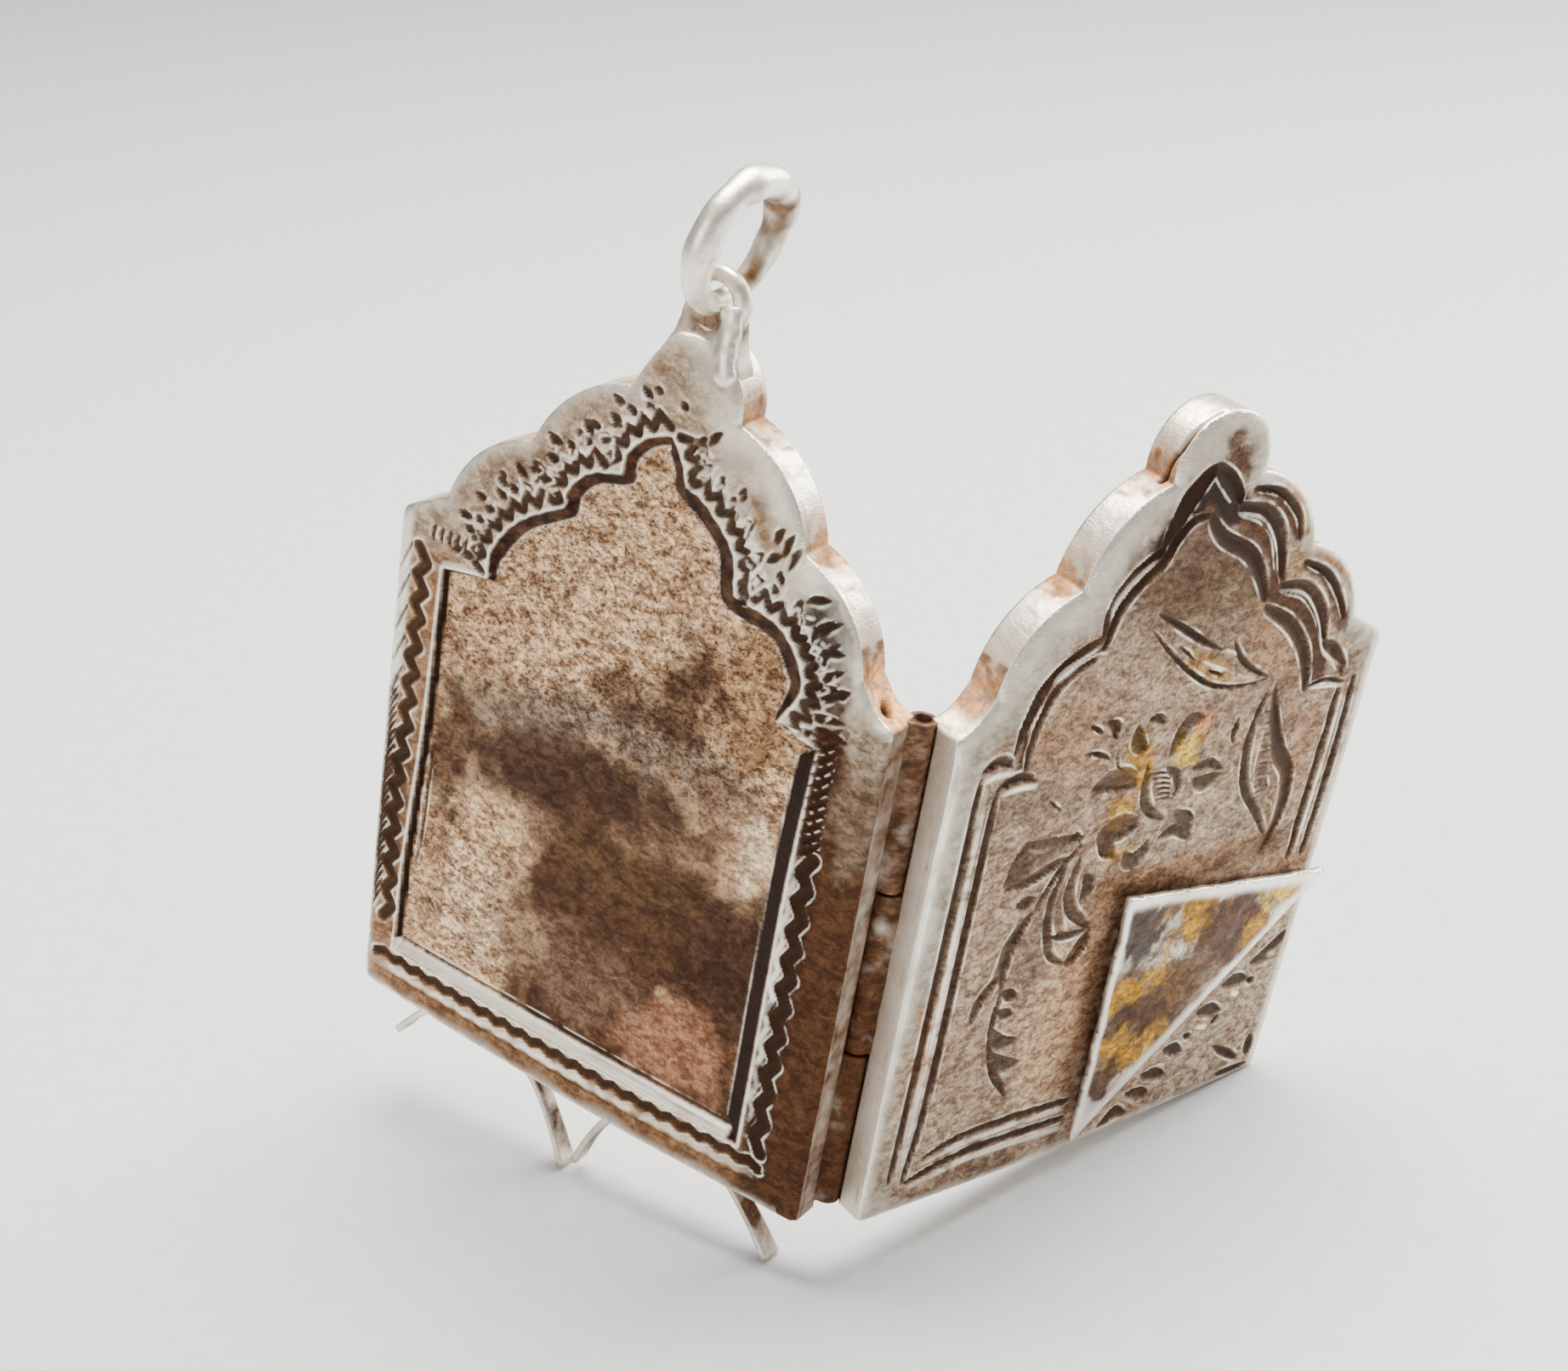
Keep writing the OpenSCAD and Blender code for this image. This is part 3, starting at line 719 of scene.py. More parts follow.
# The flower cover's cuts, a row each: reach to the left and right of the path, then its points.
# Double border down both sides and along the foot
BORDER_GROOVES = (
    (0.16, 0.34, (1.98, 20.7), (1.98, 12.0), (1.88, 5.0), (1.75, 1.6)),
    (0.16, 0.34, (2.95, 19.75), (2.95, 12.0), (2.9, 5.0), (2.5, 1.3)),
    (0.32, 0.2, (22.25, 20.6), (22.15, 16.0), (22.2, 12.0)),
    (0.32, 0.2, (23.1, 20.9), (23.2, 16.0), (23.1, 12.0)),
    (0.16, 0.32, (3.4, 2.3), (5.2, 2.75), (8.0, 2.75), (11.6, 2.45)),
    (0.16, 0.32, (2.6, 1.25), (4.0, 1.6), (6.5, 1.8), (11.6, 1.5)),
)
# Border lines round the arch
ARCH_GROOVES = (
    (0.16, 0.4, (3.4, 21.5), (3.55, 22.8), (4.2, 24.4), (5.5, 25.4), (6.8, 25.9)),
    (0.16, 0.46, (6.7, 25.9), (6.8, 27.2), (7.5, 28.3), (8.9, 29.3)),
    (0.2, 0.7, (8.8, 29.4), (9.4, 30.9), (10.2, 32.0), (10.9, 32.4)),
    (0.2, 0.65, (10.9, 32.4), (11.9, 31.7), (12.6, 30.9), (12.7, 30.5)),
    (0.26, 0.6, (12.7, 30.4), (14.4, 30.0), (15.7, 28.8), (16.5, 26.7)),
    (0.26, 0.56, (16.5, 26.4), (18.3, 26.0), (19.7, 24.7), (20.4, 23.2)),
    (0.24, 0.46, (20.3, 23.1), (21.2, 22.7), (22.1, 21.7), (22.2, 21.2)),
    (0.14, 0.36, (4.15, 20.6), (4.1, 21.8), (4.4, 23.2), (5.2, 24.4), (6.9, 25.2)),
    (0.16, 0.4, (6.9, 25.2), (7.2, 26.8), (8.1, 28.0), (9.0, 28.6), (9.4, 29.4), (10.2, 30.2),
     (11.2, 30.3)),
    (0.16, 0.6, (11.2, 30.3), (12.3, 29.3), (14.2, 28.3), (15.4, 26.9), (15.9, 25.7)),
    (0.16, 0.58, (15.9, 25.6), (17.8, 24.6), (19.2, 23.2), (19.9, 21.8), (20.1, 20.8)),
    (0.3, 0.12, (13.3, 31.0), (14.9, 30.6), (16.3, 29.5), (17.0, 28.2)),
    (0.3, 0.12, (17.6, 27.2), (19.2, 26.4), (20.4, 25.2), (21.2, 24.0)),
)
# Steps from the sides in to the arch
ARCH_STEPS = (
    (0.5, 0.06, (1.85, 20.95), (2.7, 21.2), (3.5, 20.95)),
    (0.5, 0.06, (2.8, 20.0), (3.9, 20.2), (4.9, 20.0)),
    (0.25, 0.08, (20.1, 21.0), (21.3, 21.0), (22.7, 20.7)),
)
# Bud in the arch
BUD = (
    (0.08, 0.3, (9.5, 26.4), (11.1, 25.6), (12.8, 24.6), (14.1, 23.9)),
    (0.2, 0.08, (9.3, 25.8), (10.7, 24.5), (12.4, 23.15), (14.05, 22.25), (16.0, 21.9), (17.4, 22.0)),
    (0.25, 0.08, (14.5, 24.35), (15.2, 23.3), (16.3, 22.5), (17.4, 22.0)),
    (0.12, 0.08, (13.4, 23.1), (14.4, 22.7)),
    (0.1, 0.06, (11.3, 24.6), (12.4, 23.8)),
)
# Petals: a deep edge, with a facet that rises from it
PETALS = (
    (1.15, 0.08, (8.2, 18.8), (9.5, 18.5), (10.9, 18.3)),
    (0.1, 0.75, (10.1, 21.4), (10.6, 20.6), (10.95, 20.0)),
    (0.08, 0.85, (12.4, 19.4), (12.5, 20.6), (13.2, 21.2), (14.1, 20.9)),
    (0.1, 0.45, (14.0, 18.45), (15.0, 18.65), (16.0, 18.1)),
    (0.06, 0.75, (14.2, 17.95), (15.0, 17.9), (15.9, 17.85)),
    (0.12, 0.8, (13.6, 16.6), (14.7, 16.1), (15.1, 14.9)),
    (0.3, 0.35, (13.0, 15.35), (14.0, 15.6), (15.0, 14.9)),
    (0.8, 0.1, (12.5, 15.5), (11.7, 15.0), (11.1, 15.2)),
    (0.3, 1.1, (11.6, 16.5), (10.6, 16.2), (9.2, 16.5)),
    (0.8, 0.1, (9.2, 16.4), (9.8, 15.4), (10.6, 15.1)),
    (0.5, 0.08, (11.2, 19.4), (11.25, 17.9), (11.9, 16.8), (13.2, 16.2)),
    (0.06, 0.5, (12.4, 18.95), (13.3, 18.5), (13.6, 17.6), (13.2, 17.3)),
    (0.1, 0.5, (8.2, 21.95), (8.9, 21.7), (8.9, 21.0)),
    (0.08, 0.4, (10.6, 21.5), (11.2, 21.6), (11.7, 21.1)),
    (0.16, 0.08, (7.3, 21.9), (8.1, 21.4)),
    (0.18, 0.08, (7.3, 20.65), (8.1, 20.45), (8.9, 20.05)),
    (0.3, 0.08, (16.2, 20.4), (16.0, 19.6), (16.3, 19.1)),
    (0.08, 0.05, (5.9, 18.9), (6.8, 18.2)),
)
# Big leaf at the left, and the stems below it
LEAVES_AND_STEMS = (
    (0.06, 0.6, (5.1, 17.15), (6.8, 17.0), (8.5, 16.7)),
    (0.06, 1.5, (4.45, 15.3), (4.75, 16.5), (5.2, 17.1)),
    (0.55, 0.08, (4.5, 15.1), (6.0, 15.1), (7.9, 15.8)),
    (0.1, 0.3, (8.4, 16.3), (7.4, 15.0), (6.6, 13.6)),
    (0.06, 0.75, (5.4, 14.2), (6.0, 14.4), (6.5, 14.3)),
    (0.12, 0.75, (6.6, 13.6), (5.9, 12.0), (5.7, 10.2)),
    (0.16, 0.5, (5.5, 10.8), (4.8, 9.9), (4.35, 8.8)),
    (0.3, 0.1, (5.75, 10.4), (5.55, 8.6), (5.7, 6.9)),
    (0.4, 0.12, (5.7, 7.4), (6.3, 5.6), (7.5, 4.0)),
    (0.12, 0.5, (5.8, 9.95), (6.3, 9.8), (6.8, 9.45)),
    (0.12, 0.45, (5.8, 8.95), (6.3, 8.85), (6.8, 8.55)),
    (0.14, 0.7, (5.7, 8.1), (6.5, 7.4), (7.4, 7.1)),
    (0.12, 0.75, (5.8, 6.9), (6.9, 6.2), (7.85, 5.8)),
    (0.42, 0.12, (7.8, 15.6), (7.35, 13.9), (7.5, 12.3), (8.1, 10.9), (9.3, 10.15)),
    (0.55, 0.1, (8.55, 15.8), (8.15, 14.2), (8.7, 12.8), (10.3, 11.6)),
    (0.08, 0.9, (10.3, 11.7), (10.1, 10.6), (9.2, 10.1)),
    (0.06, 0.35, (7.9, 12.0), (8.8, 11.9), (9.9, 11.8)),
    (0.7, 0.08, (9.1, 14.7), (9.15, 14.0), (9.15, 13.3)),
    (0.1, 0.1, (8.4, 16.2), (8.0, 16.9), (7.6, 16.6)),
    (0.08, 0.08, (9.2, 20.4), (9.4, 19.7), (9.9, 19.3)),
)
# Leaf cuts in pairs along the fold, and three drops in the free corner
CORNER_LEAVES = (
    (0.2, 0.8, (21.7, 6.5), (22.7, 7.1), (23.7, 7.8)),
    (0.14, 0.75, (20.1, 5.8), (21.0, 6.1), (21.9, 5.7)),
    (0.14, 0.75, (18.8, 4.7), (19.7, 4.9), (20.6, 4.3)),
    (0.14, 0.7, (17.2, 3.2), (17.9, 3.3), (18.6, 2.7)),
    (0.14, 0.65, (16.1, 2.2), (17.0, 2.2), (17.8, 1.7)),
    (0.14, 0.6, (15.4, 1.4), (16.2, 1.4), (17.0, 1.0)),
    (0.14, 0.5, (14.0, 0.3), (14.9, 0.8), (15.7, 0.5)),
    (0.25, 0.2, (21.9, 5.6), (22.4, 5.3)),
    (0.25, 0.2, (20.6, 4.1), (20.1, 3.7)),
    (0.22, 0.2, (18.4, 3.6), (18.9, 3.4)),
    (0.35, 0.2, (20.8, 2.2), (21.6, 1.6), (22.9, 0.8)),
    (0.3, 0.4, (23.35, 2.1), (23.45, 1.5), (23.55, 0.8)),
    (0.3, 0.22, (21.5, 0.45), (22.5, 0.3), (23.7, 0.35)),
)
# Broad shallow cuts that darken the leaves and the bud: tone, left and right reach, points
SHADES = (
    (0.75, 0.7, 0.7, (4.6, 16.1), (6.4, 16.3), (8.3, 16.6)),
    (0.6, 0.3, 0.3, (7.9, 14.6), (8.0, 13.0), (8.8, 11.5)),
    (0.7, 0.4, 0.3, (5.9, 13.6), (5.4, 11.6), (4.9, 9.6)),
    (0.4, 0.35, 0.35, (12.2, 24.2), (14.4, 23.4), (16.6, 22.3)),
    (0.35, 0.45, 0.35, (18.2, 19.6), (18.6, 17.0), (20.0, 14.6)),
    (0.6, 0.6, 0.5, (9.4, 16.9), (10.3, 16.6), (11.2, 16.9)),
)
# Burnished strips between the border's lines: half width, then the points
BORDER_STRIPS = (
    (0.15, (2.35, 20.4), (2.35, 12.0), (2.3, 5.0), (2.1, 1.5)),
    (0.13, (22.62, 20.6), (22.6, 16.0), (22.6, 12.0)),
    (0.14, (3.1, 1.95), (5.0, 2.2), (8.0, 2.25), (11.6, 1.95)),
    (0.16, (2.6, 0.85), (4.0, 1.1), (6.5, 1.25), (11.6, 0.95)),
    (0.16, (2.0, 20.6), (2.8, 20.75), (3.7, 20.65)),
    (0.16, (3.1, 19.8), (4.0, 19.9), (5.1, 19.8)),
    (0.13, (20.2, 20.9), (21.4, 20.85), (22.6, 20.5)),
    (0.12, (4.0, 21.5), (4.1, 23.0), (4.9, 24.6), (6.9, 25.6)),
    (0.11, (7.0, 26.1), (7.1, 27.2), (7.9, 28.2), (9.1, 29.0)),
    (0.11, (12.6, 30.1), (14.3, 29.6), (15.6, 28.2), (16.4, 26.3)),
    (0.11, (16.3, 26.2), (18.3, 25.6), (19.7, 24.1), (20.5, 22.6), (22.2, 21.5)),
    (0.1, (5.0, 24.2), (6.2, 25.0), (7.2, 25.2)),
)
# Bright flecks beside them: half width, then the ends
CORNER_FLECKS = (
    (0.15, (20.9, 5.2), (21.5, 4.9)),
    (0.15, (19.0, 3.9), (19.9, 3.6)),
    (0.15, (17.0, 2.45), (17.6, 2.2)),
    (0.15, (22.9, 6.6), (23.4, 6.7)),
)
# Two long leaves that hang at the right
LONG_LEAVES = (
    (0.5, 0.1, (17.6, 21.5), (17.1, 19.8), (17.15, 18.0), (17.7, 16.5), (18.9, 15.1), (20.1, 13.6)),
    (0.1, 0.8, (18.0, 21.6), (18.8, 19.8), (19.7, 18.2), (20.7, 16.9), (20.9, 14.6), (20.1, 12.7)),
)

# Depths of the border's grooves, and depth, taper and tone of a petal's cut; how far the whole
# drawing is moved along u
GROOVE_DEPTH = 0.2
FLOWER_SHIFT = -0.28
PETAL_CUT = (0.23, 0.45, 0.85)


def cuts(face, rows, depth, taper, tone=1.0):
    """A cut for each row of a table."""
    for left, right, *points in rows:
        face.cut(smooth(points), left, right, depth, taper, tone)


def shines(face, rows, lift=0.03):
    """A burnished line for each row of a table."""
    for half, *points in rows:
        face.shine(smooth(points), half, lift)


def flower_engraving(face):
    """Borders, flower spray, hanging leaves and the cuts by the fold, in the order they were cut."""
    cuts(face, BORDER_GROOVES, GROOVE_DEPTH, 0.12)
    shines(face, BORDER_STRIPS)
    cuts(face, ARCH_GROOVES, GROOVE_DEPTH, 0.25)
    cuts(face, ARCH_STEPS, GROOVE_DEPTH, 0.5)
    cuts(face, BUD, GROOVE_DEPTH, 0.5)
    cuts(face, PETALS, *PETAL_CUT)
    # Hatching in the flower's eye
    for k in range(6):
        u, v = 11.5 + 0.13 * k, 18.75 - 0.27 * k
        face.cut(smooth(((u, v), (u + 0.6, v - 0.02), (u + 1.2, v - 0.2))), 0.09, 0.05, 0.1, 0.4)
    cuts(face, LONG_LEAVES, 0.17, 0.4)
    # Ticks between the long leaves
    for k in range(16):
        u, v = 17.75 + 0.045 * k, 20.3 - 0.29 * k
        face.cut(smooth(((u, v), (u + 0.75 + 0.02 * k, v - 0.08))), 0.07, 0.05, 0.07, 0.3)
    cuts(face, LEAVES_AND_STEMS, *PETAL_CUT)
    for tone, *row in SHADES:
        cuts(face, [row], 0.06, 0.4, tone)
    cuts(face, CORNER_LEAVES, 0.17, 0.4)
    shines(face, CORNER_FLECKS, 0.02)
    # Bead step beside the spine
    face.cut(smooth(((0.55, 22.4), (0.42, 12.0), (0.35, 0.5))), 0.08, 0.08, 0.06, 0.1, 0.5)


def flower_stains(face):
    """Patina: a grey margin, a mottled field, gilt flecks on the flower and dark bands round the arch."""
    p = face.p
    face.colour[:] = PINK_GREY
    face.cover[:] = 0.9
    rows, _, side, _ = face.near(closed(OUTER), 2.6)
    margin = np.zeros(len(p))
    width = np.where(p[rows, 0] < MID_U, 1.9, 1.1)
    margin[rows] = np.clip(0.5 + (width - side) / 0.5, 0, 1) * np.clip((p[rows, 1] - 20.5) / 1.5, 0, 1)
    margin = np.maximum(margin, ramp(p[:, 0], 1.9, -0.4))
    mottle = np.clip(0.35 + 1.1 * wander(p, 2.0, 71.0), 0, 1) * (1 - margin)
    face.tint(0.36 * mottle, UMBER, 0.98)
    face.tint(margin, MARGIN_GREY, 0.66)
    face.stains((
        ((12.0, 28.0), (3.6, 2.6), UMBER, 0.8, -15), ((12.5, 26.0), (4.5, 1.9), OLIVE, 0.5, -20),
        ((17.5, 24.0), (1.6, 2.4), TAN, 0.7, 30), ((4.5, 19.2), (1.8, 0.9), UMBER, 0.35, 0),
        ((7.0, 12.5), (1.2, 2.0), UMBER, 0.3, 0), ((19.0, 19.5), (0.9, 3.0), UMBER, 0.4, 10),
        ((11.0, 31.2), (1.6, 1.2), BROWN, 0.85, 0), ((9.0, 29.4), (0.9, 0.7), PURPLE, 0.7, 30),
        ((6.5, 22.0), (2.0, 2.4), TAN, 0.6, 0), ((7.5, 24.0), (3.0, 1.4), PINK_GREY, 0.6, 0),
        ((15.0, 15.8), (4.0, 2.4), SILVER_GREY, 0.55, 0), ((13.0, 13.2), (4.0, 0.9), TAN, 0.8, 0),
        ((18.0, 13.4), (3.0, 0.8), TAN, 0.7, -5), ((8.4, 6.0), (1.9, 3.0), SILVER_GREY, 0.55, 0),
        ((10.6, 8.0), (1.3, 5.0), TAN, 0.75, 0), ((4.0, 10.0), (1.6, 6.0), PINK_GREY, 0.6, 0),
        ((6.0, 3.8), (3.0, 1.4), PINK_GREY, 0.7, 0), ((5.5, 0.2), (4.5, 0.8), OLIVE, 0.5, 0),
        ((13.4, 19.6), (0.8, 0.7), YELLOW, 0.95, 0), ((10.6, 19.4), (0.9, 1.2), GOLD, 0.8, 20),
        ((10.3, 17.2), (0.8, 1.0), GOLD, 0.8, 0), ((13.9, 20.6), (0.6, 0.5), ORANGE, 0.6, 0),
        ((10.9, 15.2), (0.8, 0.4), GOLD, 0.6, 0), ((13.5, 23.2), (1.4, 0.6), GOLD, 0.5, -30),
        ((1.7, 7.5), (0.5, 3.0), ORANGE, 0.45, 0), ((1.2, 5.0), (1.0, 4.0), SILVER_GREY, 0.6, 0),
        ((15.5, 29.9), (1.0, 0.3), BROWN, 0.85, -45), ((19.6, 25.9), (0.9, 0.28), BROWN, 0.85, -48),
        ((20.9, 24.2), (1.2, 0.3), BROWN, 0.85, -45), ((12.3, 32.2), (0.9, 0.3), BROWN, 0.85, -48),
        ((11.5, 33.3), (0.4, 0.35), BROWN, 0.8, 0), ((17.6, 27.3), (0.9, 0.9), GOLD, 0.35, -45),
        ((20.5, 17.0), (1.2, 3.5), TAN, 0.6, 0), ((23.3, 8.0), (0.9, 9.0), SILVER_GREY, 0.6, 0),
        ((20.5, 3.4), (4.0, 2.6), SILVER_GREY, 0.75, 35), ((22.5, 12.0), (1.6, 0.7), TAN, 0.8, 0),
    ))
    face.stain((8.9, 7.0), (1.5, 4.0), PALE_TAN, 0.6)
    face.stain((14.0, 12.9), (3.0, 0.7), UMBER, 0.5)
    face.stain((19.5, 13.2), (3.0, 0.7), UMBER, 0.5)
    # Painted shadow of the folded corner's left edge
    face.stain((11.6, 6.5), (0.7, 6.5), UMBER, 0.7)
    face.cover *= 1 - 0.5 * ramp(p[:, 0], 23.2, 0.3)
    face.grit = 0.5 - 0.3 * margin
    # Dark bands between the lines round the arch, and the filled apex
    for path, half, colour in (
        (((12.4, 30.3), (14.4, 29.3), (15.8, 27.8), (16.3, 26.3)), 0.38, BROWN),
        (((16.3, 26.1), (18.3, 25.1), (19.7, 23.7), (20.4, 22.2), (20.6, 21.2)), 0.38, BROWN),
        (((3.95, 21.0), (4.0, 22.8), (5.0, 24.7), (6.9, 25.5)), 0.12, BROWN),
        (((6.95, 25.7), (7.5, 27.5), (8.8, 28.9)), 0.12, BROWN),
        (((9.1, 29.4), (10.1, 30.9), (10.9, 31.5), (12.0, 30.8), (12.5, 30.3)), 0.6, DARK_BROWN),
        (((13.5, 30.95), (15.1, 30.3), (16.8, 28.5)), 0.16, BROWN),
        (((17.8, 27.1), (19.5, 26.1), (21.2, 24.2)), 0.16, BROWN),
        (((14.6, 31.3), (16.2, 30.2), (17.2, 28.6)), 0.1, TAN),
        (((18.3, 27.5), (20.3, 26.4), (21.8, 24.8)), 0.1, TAN),
    ):
        face.wash(path, half, colour, 0.97)


# Mesh making
def linked(name, data):
    """A new object in the scene."""
    made = bpy.data.objects.new(name, data)
    bpy.context.scene.collection.objects.link(made)
    return made


class Shape:
    """Vertices in a cover's own millimetres with their patina, and faces, put together piece by piece."""

    def __init__(self):
        self.points, self.stains, self.relief, self.grit, self.faces = [], [], [], [], []
        self.count = 0

    def add(self, points, colour, cover, relief=0.0, grit=0.25):
        """New vertices with their patina; returns their numbers."""
        points = np.asarray(points, float)
        n = len(points)
        colour = np.broadcast_to(np.asarray(colour, float), (n, 3))
        cover = np.broadcast_to(np.asarray(cover, float), (n,))
        self.points.append(points)
        self.stains.append(np.column_stack([colour, cover]))
        self.relief.append(np.broadcast_to(np.asarray(relief, float), (n,)))
        self.grit.append(np.broadcast_to(np.asarray(grit, float), (n,)))
        self.count += n
        return np.arange(self.count - n, self.count)

    def bridge(self, one, two):
        """Quads between closed rows, facing right of the way along row one seen from row two's side."""
        a, b = list(one), list(two)
        for i in range(len(a)):
            j = (i + 1) % len(a)
            self.faces.append((a[i], a[j], b[j], b[i]))

    def loft(self, rows, closed=False, inward=False):
        """Quads from each row to the next, and from the last to the first when closed."""
        for one, two in zip(rows, rows[1:] + (rows[:1] if closed else [])):
            if inward:
                one, two = two, one
            self.bridge(one, two)

    def capped(self, rows, inward=False):
        """A loft with a face over each end."""
        self.loft(rows, False, inward)
        turn = 1 if inward else -1
        self.faces += [tuple(rows[0][::turn]), tuple(rows[-1][::-turn])]

    def fill(self, ids, tri, turn=1):
        """Triangles over the vertices with the given numbers, turned over where turn is -1."""
        self.faces += [tuple(ids[i] for i in t[::turn]) for t in tri]

    def build(self, name, cover, body, material, replaces=None):
        """The visible piece, with its patina as attributes, tied to its body, the CAD part it replaces
        hidden.
        """
        points = np.vstack(self.points)
        mesh = bpy.data.meshes.new(name)
        faces = [f[::-1] for f in self.faces] if cover.hand < 0 else self.faces
        mesh.from_pydata(cover.place(points).tolist(), [], [tuple(int(i) for i in f) for f in faces])
        flat = mesh.attributes.new("flat", "FLOAT_VECTOR", "POINT")
        flat.data.foreach_set("vector", points.ravel())
        # The stain attribute holds the patina together with some painted shade and highlight
        stain = mesh.attributes.new("stain", "FLOAT_COLOR", "POINT")
        stain.data.foreach_set("color", np.vstack(self.stains).ravel())
        relief = mesh.attributes.new("relief", "FLOAT", "POINT")
        relief.data.foreach_set("value", np.concatenate(self.relief))
        grit = mesh.attributes.new("grit", "FLOAT", "POINT")
        grit.data.foreach_set("value", np.concatenate(self.grit))
        mesh.validate()
        mesh.shade_smooth()
        made = linked(name, mesh)
        mesh.materials.append(material)
        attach(made, body)
        if replaces:
            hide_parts(replaces)
        return made


# Spacing of the face's grid, how many grid points make the side of a block that may be thinned, and
# the bend below which it is
GRID = 0.085
BLOCK = 3
FLAT_ENOUGH = 0.0035


def inside_loop(points, loop):
    """Which points lie inside a closed loop."""
    x, y = points[:, 0], points[:, 1]
    inside = np.zeros(len(points), bool)
    for a, b in zip(loop, np.roll(loop, -1, axis=0)):
        if a[1] == b[1]:
            continue
        rows = (a[1] > y) != (b[1] > y)
        inside[rows] ^= x[rows] < a[0] + (y[rows] - a[1]) * (b[0] - a[0]) / (b[1] - a[1])
    return inside


def triangles(loop, extra):
    """Points of the loop and the extra ones inside it, and the triangles between them, anticlockwise."""
    points = np.vstack([loop, extra])
    got = delaunay_2d_cdt([Vector(p) for p in points], [], [list(range(len(loop)))], 1, 1e-7, False)
    verts = np.array([tuple(v) for v in got[0]])
    faces = [tuple(f) for f in got[2]]
    tri = np.array(faces)
    tri = tri[inside_loop(verts[tri].mean(axis=1), loop)]
    a, b, c = verts[tri[:, 0]], verts[tri[:, 1]], verts[tri[:, 2]]
    area = (b[:, 0] - a[:, 0]) * (c[:, 1] - a[:, 1]) - (b[:, 1] - a[:, 1]) * (c[:, 0] - a[:, 0])
    tri[area < 0] = tri[area < 0][:, ::-1]
    if len(verts) != len(points):
        raise ValueError("the triangulation changed the number of points")
    return tri


def clear_of(points, loop, gap):
    """The points inside a loop that lie further from it than a gap."""
    points = points[inside_loop(points, loop)]
    close, _, _, _ = Face(points).near(closed(loop), gap)
    return np.delete(points, close, axis=0)


def face_grid():
    """A fine grid inside the cover's outline, with the row and column of each point."""
    rows, cols = (int(size / GRID) // BLOCK * BLOCK + BLOCK for size in (APEX_H, COVER_W))
    j, i = np.meshgrid(np.arange(rows), np.arange(cols), indexing="ij")
    points = np.column_stack([(i.ravel() + 0.6) * GRID, (j.ravel() + 0.6) * GRID])
    keep = inside_loop(points, OUTER)
    close, _, _, _ = Face(points).near(closed(OUTER), 0.09)
    keep[close] = False
    return points, keep, rows, cols


GRID_POINTS, GRID_KEEP, GRID_ROWS, GRID_COLS = face_grid()


def thinned(height):
    """Grid points worth keeping: all where the relief bends, one in nine where it is flat."""
    full = np.full(GRID_ROWS * GRID_COLS, np.nan)
    full[GRID_KEEP] = height
    g = full.reshape(GRID_ROWS, GRID_COLS)
    bend = np.zeros_like(g)
    bend[1:-1, 1:-1] = np.abs(g[2:, 1:-1] + g[:-2, 1:-1] + g[1:-1, 2:] + g[1:-1, :-2] - 4 * g[1:-1, 1:-1])
    bend = np.where(np.isnan(bend), 1.0, bend)
    shape = (GRID_ROWS // BLOCK, BLOCK, GRID_COLS // BLOCK, BLOCK)
    busy = bend.reshape(shape).max(axis=(1, 3)) > FLAT_ENOUGH
    middle = np.zeros_like(g, bool)
    middle[BLOCK // 2::BLOCK, BLOCK // 2::BLOCK] = True
    fine = np.kron(busy, np.ones((BLOCK, BLOCK))) > 0
    return (middle | fine).ravel()[GRID_KEEP]


# Height of each ring of the wall, as shares of the way from the front edge to the rim
WALL_RINGS = (0.03, 0.07, 0.11, 0.15, 0.2, 0.25, 0.3, 0.35, 0.4,
              0.45, 0.5, 0.55, 0.62, 0.7, 0.78, 0.86, 0.94, 1.0)

# Height of the rim along the spine, how far the front edge is worn down, and the rounding round the
# floor of the hollow
SPINE_RIM = 0.3
EDGE_WEAR = 0.08
FLOOR_ROUNDING = 0.06


def wall_tone(points, around, spine, shoulder):
    """Patina of a wall: bright, with orange stains in the notches, at the spine and on the shoulder,
    and painted shade in the hollow round the knuckles.
    """
    notch = np.zeros(len(points))
    up, down = arch_points((0, COVER_W), MID_U, SIDE_H, ARCH_H, COVER_NOTCHES)
    for n in up + down:
        notch = np.maximum(notch, np.exp(-(np.hypot(*(around - np.array(n)).T) / 1.25) ** 2))
    rough = 0.5 + 0.5 * wander(points, 0.7, 5.0)
    streak = np.clip(1.8 * wander(points * np.array([1, 1, 0.4]), 0.55, 15.0) - 0.25, 0, 1)
    stain = notch * (0.35 + 0.9 * rough) + 0.85 * streak * (0.35 + notch) + 0.02
    colour = np.array(WALL_STAIN) + (np.array(OCHRE) - np.array(WALL_STAIN)) * streak[:, None]
    at_spine = (around[:, 0] < SPINE_IN + 0.3) & (around[:, 1] < SIDE_H - 0.1)
    colour[at_spine] = TAUPE
    on_ledge = (around[:, 0] < MID_U * COVER_NOTCHES[0][0] + 0.1) & (around[:, 1] > SIDE_H - 0.1)
    colour[on_ledge] = colour[on_ledge] * (1 - shoulder) + np.array(LEDGE_STAIN) * shoulder
    stain = np.where(on_ledge, np.maximum(stain, shoulder * (0.55 + 0.6 * rough)), stain)
    stain = np.where(at_spine, spine * (0.6 + 0.5 * rough), np.clip(stain, 0.01, 0.7))
    # Painted shade: the hollow round the knuckles is dark brown, where shade falls between wall and knuckle
    scoop_shade = at_spine & (points[:, 2] < SCOOP_R + 0.05)
    colour[scoop_shade] = DARK_BROWN
    return colour, np.where(scoop_shade, 0.9, stain)


